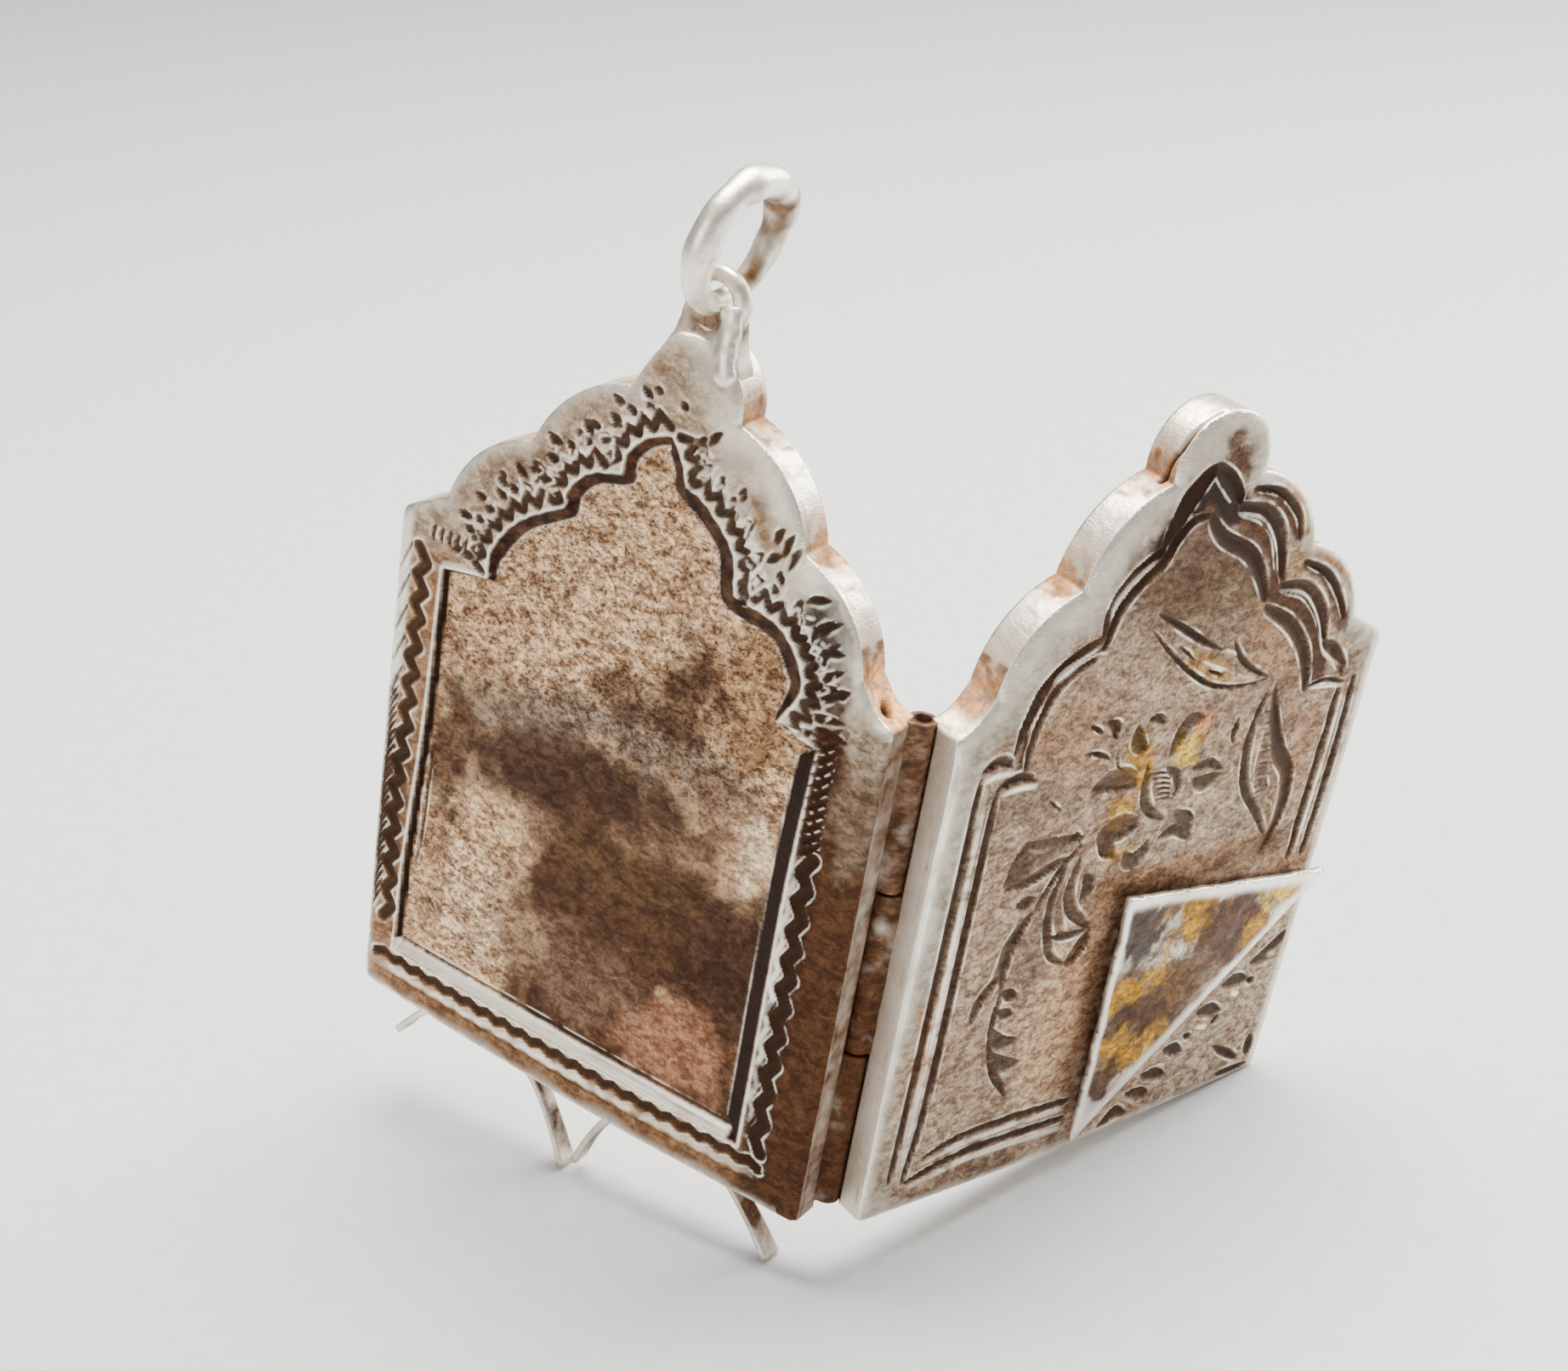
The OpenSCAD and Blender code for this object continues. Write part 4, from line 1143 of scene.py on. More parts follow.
def outer_wall(shape, outline, top, bottom, on_spine, seed, crack, spine, shoulder):
    """Rows of the hammered ribbon wall, from the front edge down to the rim."""
    out = outward(OUTER)
    rows = []
    for share in WALL_RINGS:
        w = top + (bottom - top) * share
        ring = np.column_stack([outline, w])
        dent = 0.03 * wander(ring, 2.2, seed + 11) + 0.012 * wander(ring, 0.6, seed + 17)
        swell = math.sin(math.pi * min(share * 1.1, 1))
        ring[:, :2] += out * (dent * swell * np.where(on_spine, 0, 1) - 0.02 * (share > 0.9))[:, None]
        scoop = np.sqrt(np.clip(SCOOP_R**2 - w**2, 0, None))
        ring[:, 0] = np.where(on_spine, np.maximum(scoop, SPINE_IN), ring[:, 0])
        colour, stain = wall_tone(ring, OUTER, spine, shoulder)
        seam = math.exp(-((np.mean(w) - SEAM_W) / 0.09) ** 2)
        seam = seam * np.clip(0.6 + 1.4 * wander(ring, 1.4, seed + 19), 0, 1)
        colour = colour + (np.array(BROWN) - colour) * seam[:, None]
        stain = np.maximum(stain, 0.45 * seam)
        # Painted shade: the crack and the hole are pressed in a little and painted dark brown for the shade
        # inside them
        gap = crack(OUTER, w)
        ring[:, :2] -= out * 0.25 * gap[:, None]
        colour = colour + (np.array(DARK_BROWN) - colour) * gap[:, None]
        rows.append(shape.add(ring, colour, np.maximum(stain, gap)))
    return rows


def inner_wall(shape, inner_line, bottom, seed):
    """Rows of the rim and the inner wall, down to the floor of the hollow."""
    out = outward(OUTER)
    n = len(OUTER)
    rows = []
    for w in (None, 0.6, 1.0, CAVITY_TOP - 0.08, CAVITY_TOP):
        level = bottom if w is None else np.full(n, w)
        ring = np.column_stack([inner_line, level + 0.01 * wander(INNER, 1.5, seed)])
        ring[:, :2] -= out * (FLOOR_ROUNDING if w == CAVITY_TOP else 0.0)
        rows.append(shape.add(ring, TAUPE, 0.3))
    return rows


def hollow_floor(shape, loop, edge, seed):
    """The floor of the hollow inside a loop, on the vertices of its edge."""
    u, v = np.meshgrid(np.arange(1, COVER_W, 0.45), np.arange(0.8, APEX_H, 0.45))
    extra = clear_of(np.column_stack([u.ravel(), v.ravel()]), loop, 0.2)
    flat = CAVITY_TOP + 0.05 * wander(extra, 4.0, seed + 31) + 0.015 * wander(extra, 1.1, seed + 37)
    stain = np.clip(0.66 + 0.22 * wander(extra, 5.0, seed + 41), 0.4, 0.95)
    inner = shape.add(np.column_stack([extra, flat]), TAUPE, stain)
    shape.fill(np.concatenate([edge, inner]), triangles(loop, extra), -1)


def case(cover, name, face_fn, material, seed, shaped, crack, spine, shoulder):
    """A cover's pan: engraved face, hammered ribbon wall, rim, and the hollow behind."""
    face = Face(np.vstack([OUTER, GRID_POINTS[GRID_KEEP]]))
    face_fn(face)
    face.finish(seed)
    height = CASE_D + face.level - face.sunk
    n = len(OUTER)
    keep = np.concatenate([np.ones(n, bool), thinned(height[n:])])
    points, height = face.p[keep], height[keep]
    height[:n] = np.minimum(height[:n], CASE_D - EDGE_WEAR)
    tri = triangles(points[:n], points[n:])
    shape = Shape()
    front = shape.add(np.column_stack([shaped(points), height]), face.colour[keep], face.cover[keep],
                      face.tone[keep], face.grit[keep])
    shape.fill(front, tri)
    on_spine = (OUTER[:, 0] < SPINE_IN + 0.3) & (OUTER[:, 1] > 0.1) & (OUTER[:, 1] < SIDE_H - 0.1)
    bottom = np.where(on_spine, SPINE_RIM, PART_GAP)
    inner_line = shaped(INNER, WALL_T)
    rows = [front[:n]]
    rows += outer_wall(shape, shaped(OUTER), height[:n], bottom, on_spine, seed, crack, spine, shoulder)
    rows += inner_wall(shape, inner_line, bottom, seed)
    shape.loft(rows, inward=True)
    hollow_floor(shape, inner_line - outward(OUTER) * FLOOR_ROUNDING, rows[-1], seed)
    return shape.build(name, cover, cover.body, material, cover.node)


def circle(r, count=24):
    """Points round a circle."""
    t = np.linspace(0, 2 * math.pi, count, endpoint=False)
    return np.column_stack([r * np.cos(t), r * np.sin(t)])


def knuckles(cover, first, name, material):
    """The tube knuckles of one cover, each with a fillet of solder to the spine wall."""
    pitch = SIDE_H / KNUCKLE_COUNT
    shape = Shape()
    count = 40
    for k in range(first, KNUCKLE_COUNT, 2):
        a, b = k * pitch + KNUCKLE_GAP / 2, (k + 1) * pitch - KNUCKLE_GAP / 2
        stations = np.concatenate([[a, a + 0.04], np.linspace(a + 0.2, b - 0.2, 46), [b - 0.04, b]])
        t = np.linspace(0, 2 * math.pi, count, endpoint=False)
        out = np.column_stack([np.cos(t), 0 * t, np.sin(t)])
        solder = np.exp(-(((t - math.radians(52)) / 0.42) ** 2))
        rows = []
        for v in stations:
            end = min(v - a, b - v)
            r = TUBE_R - 0.035 * math.exp(-end / 0.05) + 0 * t
            blob = 0.42 + 0.1 * math.sin(v * 2.3 + first) + 0.05 * math.sin(v * 5.1)
            r = r + solder * blob * min(1.0, end / 0.25 + 0.4)
            ring = np.column_stack([r * np.cos(t), np.full(count, v), r * np.sin(t)])
            ring += 0.012 * wander(ring, 0.8, 3.0 + first)[:, None] * out
            stain = np.clip(0.8 + 0.35 * wander(ring, 1.3, 9.0), 0.35, 1)
            pale = np.clip(0.75 * (v - 13) / 9 + 0.8 * wander(ring, 0.9, 12.0), 0, 0.8)[:, None]
            rows.append(shape.add(ring, np.array(BROWN) * (1 - pale) + np.array(TAUPE) * pale, stain))
        bores = []
        for v in (a, b):
            ring = np.column_stack([BORE_R * np.cos(t), np.full(count, v), BORE_R * np.sin(t)])
            bores.append(shape.add(ring, DARK_BROWN, 0.9))
        shape.loft(rows, inward=True)
        shape.bridge(rows[0], bores[0])
        shape.bridge(bores[1], rows[-1])
        shape.bridge(bores[0], bores[1])
    return shape.build(name, cover, cover.body, material, cover.node)


def slab(shape, outline, low, high, colour, cover, bevel=0.06, step=0.25):
    """A plate with the given anticlockwise outline between two heights, its edges rounded."""
    corners = np.asarray(outline, float)
    loop = []
    for a, b in zip(corners, np.roll(corners, -1, axis=0)):
        count = max(1, int(np.linalg.norm(b - a) / step))
        loop.append(a + np.linspace(0, 1, count, endpoint=False)[:, None] * (b - a))
    loop = np.vstack(loop)
    out = outward(loop)
    rows = []
    for inset, w in ((bevel, low), (bevel * 0.3, low + bevel * 0.3), (0, low + bevel), (0, high - bevel),
                     (bevel * 0.3, high - bevel * 0.3), (bevel, high)):
        rows.append(shape.add(np.column_stack([loop - out * inset, np.full(len(loop), w)]), colour, cover))
    shape.loft(rows)
    tri = triangles(loop - out * bevel, np.zeros((0, 2)))
    shape.fill(rows[-1], tri)
    shape.fill(rows[0], tri, -1)


def catch_lip(material):
    """The lip that snaps inside the flower cover's wall."""
    face = COVER_W - WALL_T - LIP_CLEAR
    low, high = (SIDE_H - LIP_LEN) / 2, (SIDE_H + LIP_LEN) / 2
    shape = Shape()
    outline = [(face - LIP_T, low), (face, low), (face, high), (face - LIP_T, high)]
    slab(shape, outline, -LIP_REACH, CAVITY_TOP + 0.1, TAN, 0.3)
    # The seam of solder that holds it to the wall
    left, right = face - 0.1, face + LIP_CLEAR + 0.1
    seam = [(left, low), (right, low), (right, high), (left, high)]
    slab(shape, seam, CASE_D / 2, CAVITY_TOP + 0.1, TAN, 0.3, 0.05)
    return shape.build("catch_lip", WINDOW, "window", material, "window_cover")


# Height, half width, back and front of the bail's neck from its flare upwards
NECK = (
    (-1.9, 2.15, 0.42, 1.97), (-1.4, 1.95, 0.40, 2.0), (-0.9, 1.75, 0.40, 1.98), (-0.4, 1.5, 0.40, 1.88),
    (0.0, 1.35, 0.42, 1.74), (0.35, 1.3, 0.44, 1.66), (0.7, 1.28, 0.46, 1.6), (1.0, 1.2, 0.5, 1.5),
    (1.15, 0.9, 0.62, 1.36),
)

# The way of the strap's leg, from the eye down over the edge at the hinge side
LEG = ((-0.75, 1.2, 1.2), (-1.0, 0.6, 1.5), (-1.12, -0.2, 1.8), (-1.3, -0.8, 1.97), (-1.5, -1.4, 2.0))


def bail_neck(shape):
    """The neck that rises from the top lobe, its front pressed in beside the strap's leg and darkened there
    as painted shade.
    """
    profile = np.array(NECK)
    rows = []
    for v in np.linspace(profile[0, 0], profile[-1, 0], 30):
        a, back, front = (np.interp(v, profile[:, 0], profile[:, i]) for i in (1, 2, 3))
        t = np.linspace(0, 2 * math.pi, 48, endpoint=False)
        x = a * np.sign(np.cos(t)) * np.abs(np.cos(t)) ** 0.45
        z = (front - back) / 2 * np.sign(np.sin(t)) * np.abs(np.sin(t)) ** 0.45
        press = np.exp(-(((x - 0.25) / (0.6 * a)) ** 4)) * np.clip((v + 0.25) / 0.35, 0, 1)
        z = np.where(z > 0, z - 0.16 * press, z)
        ring = np.column_stack([MID_U + x, np.full(len(t), APEX_H + v), (back + front) / 2 + z])
        ring += 0.02 * wander(ring, 0.7, 21.0)[:, None]
        # Painted shade: more patina where the front is pressed in beside the leg
        dark = np.clip(0.42 + 0.28 * press * (z > 0) + 0.4 * wander(ring, 0.9, 23.0), 0.05, 0.8)
        rows.append(shape.add(ring, TAUPE, dark))
    shape.capped(rows, inward=True)


def bail_leg(shape):
    """The leg of the strap that holds the eye, blunted at its end."""
    centres = smooth(LEG, 0.1) + np.array([MID_U, APEX_H, 0])
    last = len(centres) - 1
    rows = []
    for i, c in enumerate(centres):
        way = unit(centres[min(i + 1, last)] - centres[max(i - 1, 0)])
        across = unit(np.cross(way, (0, 0, 1.0)))
        end = math.sqrt(max(0.02, 1 - max(0.0, (i - last + 4) / 4.2) ** 2))
        s = circle(1.0, 18) * np.array([0.46, 0.3]) * end * (1 + 0.06 * math.sin(i * 0.9))
        rows.append(shape.add(c + s[:, :1] * across + s[:, 1:2] * np.cross(across, way), TAN, 0.08))
    shape.capped(rows)


def bail_eye(shape):
    """A wire bent round, thicker where it is soldered to the neck."""
    centre = np.array([MID_U, EYE_V, CASE_D / 2])
    rows = []
    for a in np.linspace(0, 2 * math.pi, 56, endpoint=False):
        way = np.array([math.cos(a), math.sin(a), 0])
        high, low = max(0.0, math.sin(a)), max(0.0, -math.sin(a))
        lump = 1 + 0.06 * math.sin(3 * a + 1) + 0.16 * low ** 2
        lump *= 1 - 0.3 * high
        s = circle(EYE_WIRE_R, 20)
        s = np.where(s[:, :1] > 0, s * lump, s)
        thick = np.array([0, 0, 1]) * s[:, 1:2] * (1 + 0.25 * low)
        ring = centre + way * (EYE_R - 0.1 * high + s[:, :1]) + thick
        stain = np.clip(0.2 + 0.4 * wander(ring, 0.7, 27.0), 0.02, 0.8)
        rows.append(shape.add(ring, TAN, stain))
    shape.loft(rows, closed=True)


def bail(material):
    """The neck, the strap's leg and the eye."""
    shape = Shape()
    bail_neck(shape)
    bail_leg(shape)
    bail_eye(shape)
    return shape.build("bail", WINDOW, "window", material, "window_cover")


# Where the ring's solder seam is, round from its side
SEAM_ANGLE = 2.5


def suspension_ring(material):
    """The jump ring: a worn wire with a solder seam and small dents, its inner side darkened as painted
    shade.
    """
    shape = Shape()
    lean = math.radians(RING_LEAN)
    up = np.array([-math.sin(lean), math.cos(lean), 0])
    side = np.array([math.cos(lean), math.sin(lean), 0])
    out = np.array([0, 0, 1.0])
    centre = np.array([MID_U, EYE_V, CASE_D / 2]) + up * (RING_R - RING_DROP)
    rows = []
    for a in np.linspace(0, 2 * math.pi, 120, endpoint=False):
        # A little narrower than round, with its top pressed down
        across = RING_R - 0.32
        along = RING_R - 0.3 * max(0.0, math.sin(a))
        middle = centre + math.cos(a) * across * out + math.sin(a) * along * up
        way = unit(math.cos(a) / across * out + math.sin(a) / along * up)
        # The stretch that hangs in the eye is worn thinner
        free = np.clip((math.sin(a) + 0.85) / 0.6, 0, 1)
        ripple = free * (0.03 * math.sin(5 * a + 0.6) + 0.022 * math.sin(9 * a + 2) - 0.03)
        seam = free * 0.05 * math.exp(-(((a - SEAM_ANGLE) / 0.09) ** 2))
        s = circle(RING_WIRE_R - 0.05 + 0.2 * free + ripple + seam, 28)
        s[:, 1] *= 1 - 0.05 * free * math.sin(2 * a + 0.4)
        ring = middle + way * s[:, :1] + side * s[:, 1:2]
        # Painted shade: more patina on the inner side of the wire
        inward = np.clip(-s[:, 0] / RING_WIRE_R, 0, 1)
        soldered = 0.5 * math.exp(-(((a - SEAM_ANGLE) / 0.15) ** 2))
        stain = 0.4 * wander(ring, 1.1, 51.0) + 0.55 * inward - 0.05 + soldered
        rows.append(shape.add(ring, OCHRE, np.clip(stain, 0.02, 0.7)))
    shape.loft(rows, closed=True)
    return shape.build("jump_ring", WINDOW, "ring", material, "suspension_ring")


def foot(table, name, material, seed):
    """A ribbon foot: a wavy strip soldered under the cover, with flared and blunted ends."""
    c = [np.array([a * COVER_W, b * FOOT_H]) for a, b in table]
    shape = Shape()
    middle_w = CASE_D - FOOT_IN - FOOT_W / 2
    rows = []
    for t in np.linspace(0, 1, 72):
        p = c[0] * (1 - t) ** 3 + 3 * c[1] * t * (1 - t) ** 2 + 3 * c[2] * t * t * (1 - t) + c[3] * t**3
        d = unit((c[1] - c[0]) * (1 - t) ** 2 + 2 * (c[2] - c[1]) * t * (1 - t) + (c[3] - c[2]) * t * t)
        left = np.array([-d[1], d[0], 0])
        end = min(t, 1 - t)
        # The ribbon's arch stays buried in the cover's foot wall
        p[1] = min(p[1], WALL_T / 2 - foot_drop(p[0]))
        flare = math.exp(-end / 0.035)
        half = FOOT_W / 2 * (0.86 + 0.14 * flare + 0.04 * math.sin(17 * t + seed))
        thick = FOOT_T / 2 * (0.92 + 0.2 * flare + 0.05 * math.sin(23 * t + seed))
        a = np.linspace(0, 2 * math.pi, 28, endpoint=False)
        x = thick * np.sign(np.cos(a)) * np.abs(np.cos(a)) ** 0.5
        z = half * np.sign(np.sin(a)) * np.abs(np.sin(a)) ** 0.4
        # Raised edges along the ribbon
        x *= 0.8 + 0.2 * (np.abs(z) / half) ** 3
        ring = np.array([*p, middle_w]) + x[:, None] * left + z[:, None] * np.array([0, 0, 1])
        rough = wander(ring, 0.9, seed)
        ring += (0.02 * rough * (end > 0.02))[:, None] * left
        edge = (np.abs(z) / half) ** 6
        stain = np.clip(0.75 + 0.4 * rough, 0.2, 1) * (1 - 0.75 * edge) * (1 - 0.8 * flare)
        rows.append(shape.add(ring, UMBER, stain))
    shape.capped(rows)
    return shape.build(name, WINDOW, "window", material, "window_cover")


def folded_corner(material):
    """The loose corner of thin gilt sheet, folded over the face, its rim curled up."""
    side = np.array([COVER_W, FLAP_SIDE])
    foot_end = np.array([COVER_W - FLAP_FOOT, 0.0])
    way = unit(foot_end - side)
    left = np.array([-way[1], way[0]])
    fold_len = np.linalg.norm(foot_end - side)
    rel = np.array(FLAP_TIP) - side
    tip = np.array([rel @ way, -(rel @ left)])
    corners = [np.array([-FLAP_OVER, 0.0]), np.array([fold_len, 0.0]), tip]
    outline = np.vstack([smooth((a, b), 0.16)[:-1] for a, b in zip(corners, corners[1:] + corners[:1])])
    x, y = np.meshgrid(np.arange(-FLAP_OVER, fold_len, 0.15), np.arange(0.08, tip[1], 0.15))
    grid = clear_of(np.column_stack([x.ravel(), y.ravel()]), outline, 0.1)
    tri = triangles(outline, grid)
    p = np.vstack([outline, grid])
    probe = Face(p)
    # The rim curls up along two sides, and the fold is worn bright along the third, a band that is also
    # painted highlight for the fold's rounded edge
    rim = np.zeros(len(p))
    fold_wear_and_sheen = np.zeros(len(p))
    start, end, _ = corners
    for a, b, wide, target in ((end, tip, 0.3, rim), (tip, start, 0.5, rim), (start, end, 0.55, fold_wear_and_sheen)):
        rows, _, dist, _ = probe.near(smooth((a, b)), 3.0)
        target[rows] = np.maximum(target[rows], np.exp(-((np.abs(dist) / wide) ** 2)))
    lift = math.radians(FLAP_LIFT - 1.5)
    crumple = 0.10 * wander(p, 2.6, 61.0) + 0.04 * wander(p, 1.0, 63.0)
    rise = p[:, 1] / tip[1]
    curl = 0.10 * rim * np.clip(rise * 4, 0, 1)
    up = p[:, 1] * math.sin(lift) + crumple * np.clip(rise * 3, 0, 1) + curl + 0.03
    # The sheet's own place: along the fold, then out over the face
    across = p[:, 1] * math.cos(lift)
    uv = side + p[:, :1] * way - across[:, None] * left
    top = np.column_stack([uv, CASE_D + up + FLAP_T / 2])
    under = np.column_stack([uv, CASE_D + up - FLAP_T / 2 + 0.06])
    # Its stains are placed by where they show over the face behind
    probe = Face(uv + (up + FLAP_T)[:, None] * np.array([1.03, -1.11]))
    probe.colour[:] = MARGIN_GREY
    probe.cover[:] = 0.42
    probe.stains((
        ((18.2, 8.0), (3.5, 2.0), TAUPE, 0.7, 25), ((15.0, 5.4), (3.2, 3.0), TAUPE, 0.7, 0),
        ((15.6, 8.6), (3.4, 0.5), BRIGHT, 0.7, 5), ((13.4, 10.1), (1.5, 1.4), DARK_BROWN, 0.85, 20),
        ((14.6, 11.2), (1.2, 0.7), UMBER, 0.9, 20), ((17.0, 10.2), (1.6, 1.5), GOLD, 1.0, 0),
        ((19.4, 9.2), (2.0, 2.0), BROWN, 0.95, 10), ((20.4, 8.0), (1.2, 1.4), BROWN, 0.8, 10),
        ((21.2, 8.3), (0.8, 0.9), GOLD, 0.9, 0), ((22.2, 10.0), (1.5, 0.7), YELLOW, 0.9, -20),
        ((21.4, 10.7), (0.9, 0.4), BROWN, 0.8, -20), ((14.8, 6.2), (2.8, 2.0), BROWN, 0.95, -8),
        ((13.2, 7.2), (1.2, 0.9), GOLD, 1.0, 0), ((15.2, 7.5), (1.0, 0.6), GOLD, 0.8, 0),
        ((17.0, 6.6), (1.3, 1.3), OCHRE, 0.9, 0), ((15.4, 5.0), (1.6, 0.9), BROWN, 0.95, -20),
        ((14.6, 3.6), (1.9, 0.9), GOLD, 1.0, -15), ((13.2, 2.6), (1.2, 0.9), BROWN, 0.9, 0),
        ((13.6, 4.6), (0.8, 0.6), GOLD, 0.8, 0), ((16.3, 4.4), (0.9, 0.5), GOLD, 0.6, 0),
    ), 0.8, 0.35)
    probe.cover = np.clip(probe.cover, 0, 1)
    worn = np.clip(1.7 * rim + fold_wear_and_sheen, 0, 1)
    shape = Shape()
    upper = shape.add(top, probe.colour, probe.cover * (1 - 0.95 * worn), 0, 0.5)
    lower = shape.add(under, TAN, 0.5)
    # In this plane the way round is the mirror of the face's
    shape.fill(upper, tri, -1)
    shape.fill(lower, tri)
    n = len(outline)
    shape.bridge(upper[:n], lower[:n])
    return shape.build("folded_corner", FLOWER, "flower", material, "flower_cover")


# Materials
class Nodes:
    """The node tree of a material or world with short ways to add to it."""

    def __init__(self, owner):
        self.owner = owner
        owner.use_nodes = True
        self.tree = owner.node_tree
        self.tree.nodes.clear()

    def add(self, kind, inputs=(), **settings):
        """A node, with each input linked or set."""
        node = self.tree.nodes.new(kind)
        for key, value in settings.items():
            setattr(node, key, value)
        for key, value in dict(inputs).items():
            if isinstance(value, bpy.types.NodeSocket):
                self.tree.links.new(value, node.inputs[key])
            else:
                node.inputs[key].default_value = value
        return node

    def attribute(self, name, output):
        """An attribute of the mesh."""
        return self.add("ShaderNodeAttribute", attribute_name=name).outputs[output]

    def noise(self, vector, scale, detail=4.0, roughness=0.6, distortion=0.0):
        """Noise from 0 to 1."""
        inputs = {"Vector": vector, "Scale": scale, "Detail": detail, "Roughness": roughness,
                  "Distortion": distortion}
        return self.add("ShaderNodeTexNoise", inputs).outputs["Fac"]

    def stretch(self, vector, scale, turn):
        """A vector scaled along each axis and turned in the face's plane, in degrees."""
        inputs = {"Vector": vector, "Scale": scale, "Rotation": (0, 0, math.radians(turn))}
        return self.add("ShaderNodeMapping", inputs).outputs["Vector"]

    def math(self, kind, a, b, clamp=False):
        """Two values put together, such as ADD or SUBTRACT."""
        return self.add("ShaderNodeMath", {0: a, 1: b}, operation=kind, use_clamp=clamp).outputs[0]

    def times(self, a, b):
        """The product of two values."""
        return self.math("MULTIPLY", a, b)

    def span(self, value, low, high, to_low=0.0, to_high=1.0):
        """A value between low and high carried to another span, and held at its ends."""
        inputs = {"Value": value, "From Min": low, "From Max": high, "To Min": to_low, "To Max": to_high}
        return self.add("ShaderNodeMapRange", inputs, clamp=True).outputs["Result"]

    def mix(self, factor, a, b, kind="MIX"):
        """Colour a turned into colour b by a factor."""
        node = self.add("ShaderNodeMix", data_type="RGBA", blend_type=kind)
        for key, value in ((0, factor), (6, a), (7, b)):
            if isinstance(value, bpy.types.NodeSocket):
                self.tree.links.new(value, node.inputs[key])
            else:
                node.inputs[key].default_value = (*value, 1) if isinstance(value, tuple) else value
        return node.outputs[2]

    def shade(self, colour, factors):
        """A colour with each channel multiplied."""
        return self.mix(1.0, colour, factors, "MULTIPLY")


# Height in metres that the grain's bump stands for
BUMP_DISTANCE = 0.00006


def silver(name, clean, grain, patina_metal, rough_clean, rough_dark, bump):
    """Silver under the patina that a piece's stain and relief attributes hold."""
    n = Nodes(bpy.data.materials.new(name))
    flat = n.attribute("flat", "Vector")
    stain = n.attribute("stain", "Color")
    cover = n.attribute("stain", "Alpha")
    relief = n.attribute("relief", "Fac")
    grit = n.attribute("grit", "Fac")
    small = n.noise(n.stretch(flat, (1.0, 1.25, 1.0), 20), 4.6, 5.0, 0.66, 0.5)
    large = n.noise(n.stretch(flat, (1.0, 1.5, 1.0), 35), 1.5, 4.0, 0.6, 0.7)
    fine = n.math("ADD", n.times(small, 0.68), n.times(large, 0.32))
    speck = n.noise(n.stretch(flat, (2.6, 3.4, 3.0), 28), 1.9, 3.0, 0.55, 0.8)
    cloud = n.noise(flat, 0.55, 4.0, 0.6, 0.6)
    scratch = n.noise(n.stretch(flat, (0.5, 11.0, 3.0), 34), 1.0, 3.0, 0.6)
    # How much patina: the piece's own, broken up by clouds and grain, and more in the cuts
    amount = n.math("ADD", n.times(cover, 1.35), n.span(cloud, 0.3, 0.7, -0.14, 0.1))
    amount = n.math("ADD", amount, n.span(fine, 0.3, 0.7, -grain, grain))
    amount = n.math("ADD", amount, n.times(relief, 0.6), True)
    pits = n.span(speck, 0.58, 0.64)
    pits = n.times(pits, n.times(grit, n.span(amount, 0.4, 0.8)))
    warmer = tuple(c * k for c, k in zip(clean, (0.95, 0.89, 0.80)))
    metal = n.mix(n.span(cloud, 0.35, 0.7), clean, warmer)
    light = n.shade(stain, (1.9, 1.85, 1.75))
    dark = n.shade(stain, (0.34, 0.27, 0.22))
    patina = n.mix(n.span(fine, 0.41, 0.50), dark, stain)
    patina = n.mix(n.span(fine, 0.51, 0.60), patina, light)
    soft = n.shade(stain, (0.72, 0.66, 0.6))
    soft = n.mix(n.span(fine, 0.36, 0.62), soft, n.shade(stain, (1.3, 1.28, 1.25)))
    patina = n.mix(grit, soft, patina)
    patina = n.mix(n.span(large, 0.56, 0.40), patina, n.shade(patina, (0.66, 0.58, 0.52)))
    patina = n.mix(n.span(cloud, 0.5, 0.72, 0.0, 0.6), patina, n.shade(patina, (0.62, 0.50, 0.42)))
    patina = n.mix(n.times(relief, 0.9), patina, CUT_TONE)
    colour = n.mix(amount, metal, patina)
    colour = n.mix(n.times(pits, 0.75), colour, PIT_TONE)
    metallic = n.span(amount, 0.1, 0.9, 1.0, patina_metal)
    roughness = n.span(amount, 0.1, 0.8, rough_clean, rough_dark)
    roughness = n.math("ADD", roughness, n.span(fine, 0.3, 0.7, -0.06, 0.06))
    height = n.math("ADD", n.times(fine, 0.5), n.times(scratch, 0.35))
    height = n.math("SUBTRACT", height, n.times(pits, 0.5))
    inputs = {"Height": height, "Strength": bump, "Distance": BUMP_DISTANCE}
    normal = n.add("ShaderNodeBump", inputs).outputs["Normal"]
    shader = n.add("ShaderNodeBsdfPrincipled", {"Base Color": colour, "Metallic": metallic,
                                                "Roughness": roughness, "Normal": normal})
    shader.inputs["Specular IOR Level"].default_value = 0.12
    n.add("ShaderNodeOutputMaterial", {"Surface": shader.outputs["BSDF"]})
    return n.owner


def floor_material():
    """Pale matt paper."""
    n = Nodes(bpy.data.materials.new("pale_floor"))
    where = n.add("ShaderNodeTexCoord").outputs["Object"]
    grain = n.noise(where, 900.0, 3.0)
    colour = n.mix(n.span(grain, 0.3, 0.7), (0.52, 0.53, 0.54), (0.56, 0.57, 0.58))
    shader = n.add("ShaderNodeBsdfPrincipled", {"Base Color": colour, "Roughness": 0.75})
    n.add("ShaderNodeOutputMaterial", {"Surface": shader.outputs["BSDF"]})
    return n.owner


# Name, clean colour, grain, how metallic the patina is, roughness clean and tarnished, and bump
WORN = silver("tarnished_silver", (0.94, 0.895, 0.80), 0.12, 0.35, 0.4, 0.58, 0.8)
DARK = silver("dark_silver", (0.78, 0.72, 0.62), 0.14, 0.3, 0.34, 0.55, 0.8)
RUBBED = silver("rubbed_silver", (0.98, 0.95, 0.87), 0.10, 0.3, 0.4, 0.5, 0.6)
GILT = silver("gilt_sheet", (0.95, 0.93, 0.87), 0.10, 0.25, 0.42, 0.48, 0.6)


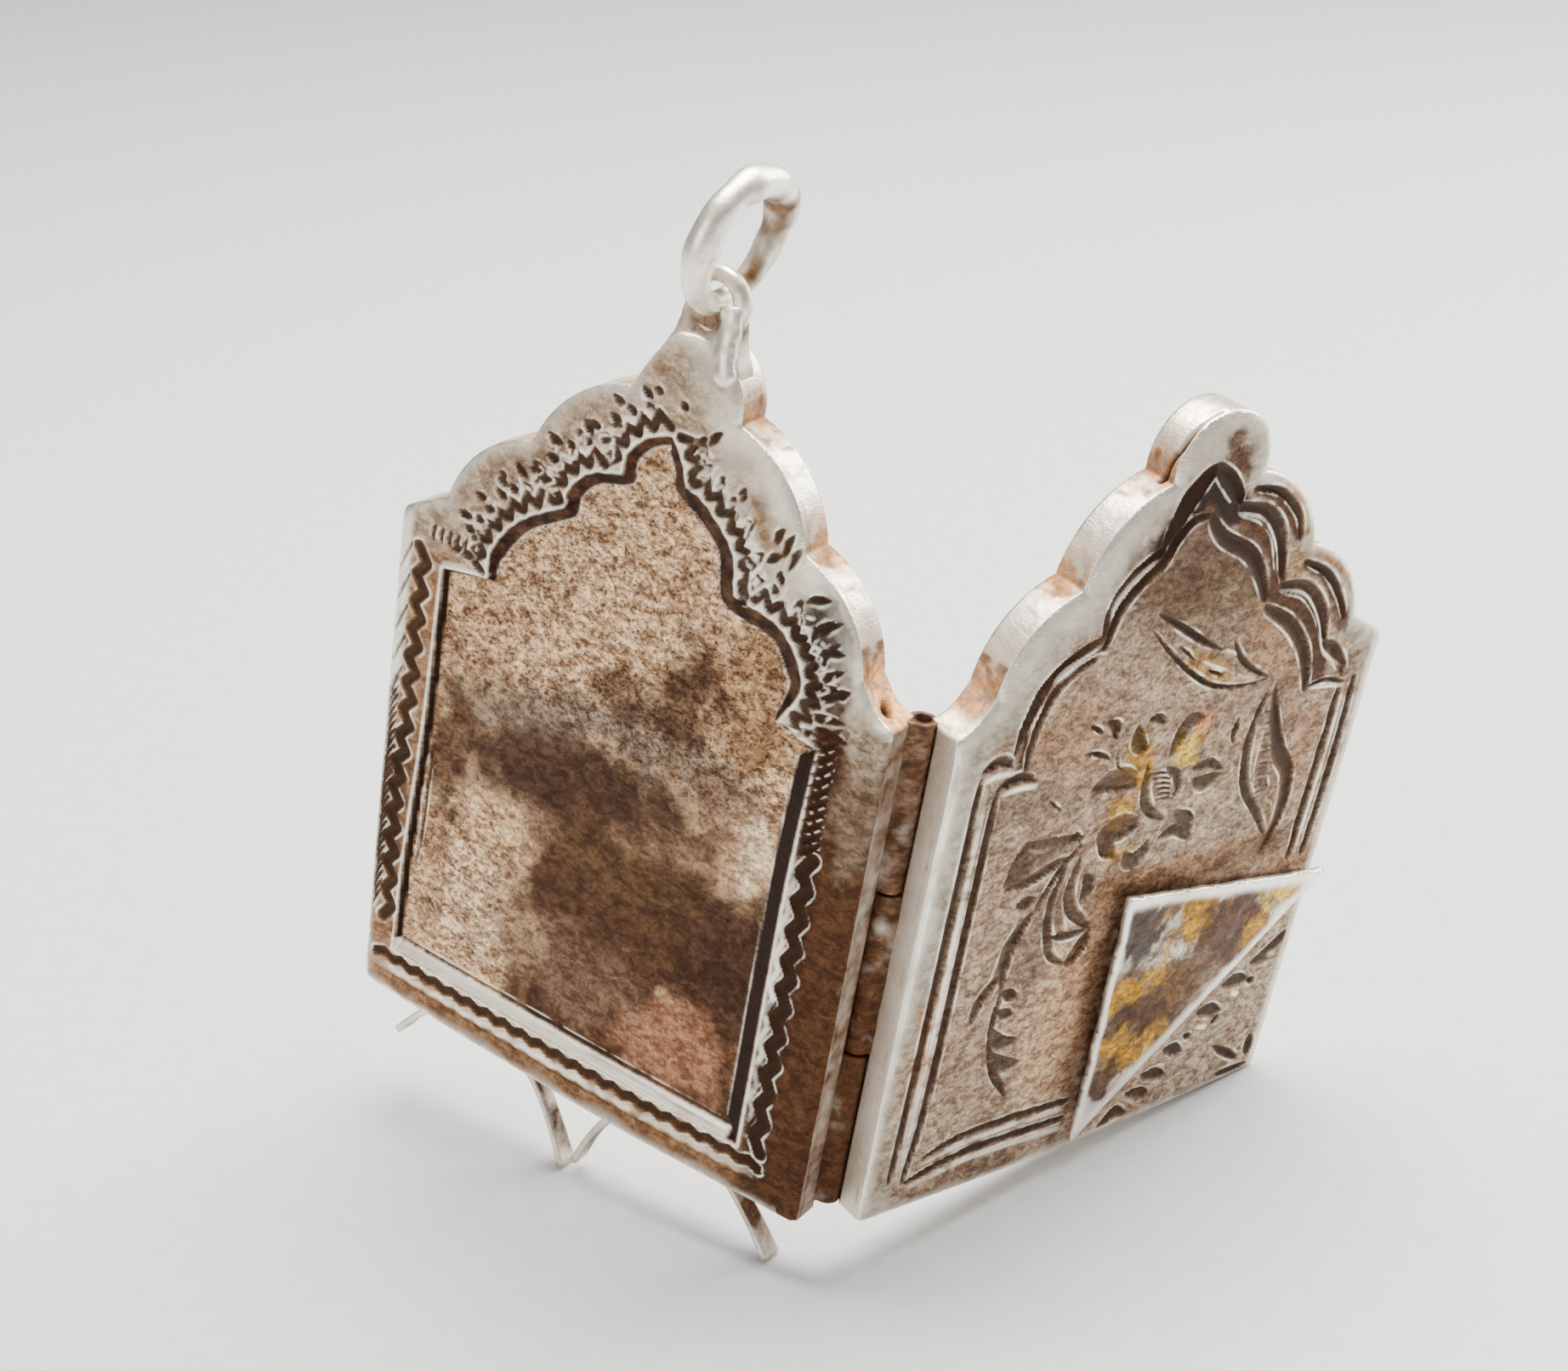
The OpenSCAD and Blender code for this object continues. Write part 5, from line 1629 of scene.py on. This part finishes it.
def window_face(face):
    """The window cover's face."""
    rows, rim = base_relief(face, 1.0, 0.25)
    panel, bevel, bright = sink_window(face)
    window_engraving(face)
    window_stains(face, panel, bevel, bright)
    face.polish(rows, RIM_POLISH * rim)


def flower_face(face):
    """The flower cover's face, whose drawing sits a little nearer the hinge than its tables say."""
    rows, rim = base_relief(face, 2.0, 1.0)
    face.shift = np.array([FLOWER_SHIFT, 0.0])
    flower_engraving(face)
    flower_stains(face)
    face.polish(rows, RIM_POLISH * rim)


def flower_crack(loop, w):
    """The seam that has opened between wall and plate on the top lobe, hinge side, painted dark as its
    shade.
    """
    path = 1.15 + 0.5 * ramp(loop[:, 1], 31.7, 2.2) + 0.03 * np.sin(loop[:, 1] * 5)
    there = (loop[:, 0] < MID_U - 0.3) & (loop[:, 1] > 31.6)
    return np.where(there, np.exp(-(((w - path) / 0.1) ** 2)), 0)


def window_hole(loop, w):
    """The little hole in the shoulder by the hinge, a shallow dent painted dark as its shade."""
    away = np.hypot(loop[:, 0] - HOLE_AT[0], w - HOLE_AT[1])
    return np.where(loop[:, 1] > SIDE_H - 0.1, np.exp(-((away / HOLE_R) ** 4)), 0)


# The last two numbers are how stained the wall is along the spine and on the shoulder
case(WINDOW, "window_case", window_face, WORN, 1.0, gable, window_hole, 0.75, 0.9)
case(FLOWER, "flower_case", flower_face, WORN, 2.0, bowed, flower_crack, 0.08, 0.25)
knuckles(WINDOW, 0, "window_knuckles", DARK)
knuckles(FLOWER, 1, "flower_knuckle", DARK)
catch_lip(WORN)
bail(RUBBED)
suspension_ring(RUBBED)
foot(FAR_FOOT, "far_foot", WORN, 3.0)
foot(NEAR_FOOT, "near_foot", WORN, 4.0)
folded_corner(GILT)

pin = frame["nodes"]["hinge_pin"]
pin.data.materials.clear()
pin.data.materials.append(DARK)


# Floor, lights and camera
FLOOR_REACH = 1.5
LIGHT_AIM = (0, 0, 0.02)
HORIZON = (0.18, 0.18, 0.18)
ZENITH = (0.62, 0.61, 0.59)

# Name, place, width and length, power and colour of each light
LIGHTS = (
    ("overhead", (0.02, 0.05, 0.26), (0.2, 0.14), 2.7, (1.0, 0.975, 0.93)),
    ("front_left", (-0.22, -0.20, 0.12), (0.16, 0.16), 0.35, (1.0, 0.97, 0.93)),
    ("back_right", (0.22, 0.14, 0.14), (0.16, 0.16), 1.3, (1.0, 0.975, 0.93)),
)


def floor():
    """A plain pale floor."""
    mesh = bpy.data.meshes.new("floor")
    r = FLOOR_REACH
    mesh.from_pydata([(-r, -r, 0), (r, -r, 0), (r, r, 0), (-r, r, 0)], [], [(0, 1, 2, 3)])
    made = linked("floor", mesh)
    mesh.materials.append(floor_material())


def area_light(name, at, size, energy, colour):
    """A soft light aimed at the locket."""
    light = bpy.data.lights.new(name, "AREA")
    light.shape = "RECTANGLE"
    light.size, light.size_y = size
    light.energy = energy
    light.color = colour
    made = linked(name, light)
    made.location = at
    made.rotation_euler = (Vector(LIGHT_AIM) - Vector(at)).to_track_quat("-Z", "Y").to_euler()


def world():
    """A studio that is bright overhead and dim towards the horizon."""
    n = Nodes(bpy.data.worlds.new("studio"))
    where = n.add("ShaderNodeTexCoord").outputs["Generated"]
    height = n.add("ShaderNodeSeparateXYZ", {"Vector": where}).outputs["Z"]
    colour = n.mix(n.span(height, 0.05, 0.75), HORIZON, ZENITH)
    background = n.add("ShaderNodeBackground", {"Color": colour, "Strength": 1.0})
    n.add("ShaderNodeOutputWorld", {"Surface": background.outputs["Background"]})
    bpy.context.scene.world = n.owner


def camera():
    """The photograph's view."""
    data = bpy.data.cameras.new("camera")
    data.lens = CAMERA_LENS
    data.sensor_fit = "HORIZONTAL"
    data.clip_start, data.clip_end = 0.005, 10
    made = linked("camera", data)
    at, aim = Vector(CAMERA_AT) * MM, Vector(CAMERA_AIM) * MM
    turn = (aim - at).to_track_quat("-Z", "Y").to_matrix().to_4x4()
    made.matrix_world = Matrix.Translation(at) @ turn @ Matrix.Rotation(-math.radians(CAMERA_ROLL), 4, "Z")
    bpy.context.scene.camera = made


floor()
for light_row in LIGHTS:
    area_light(*light_row)
world()
camera()
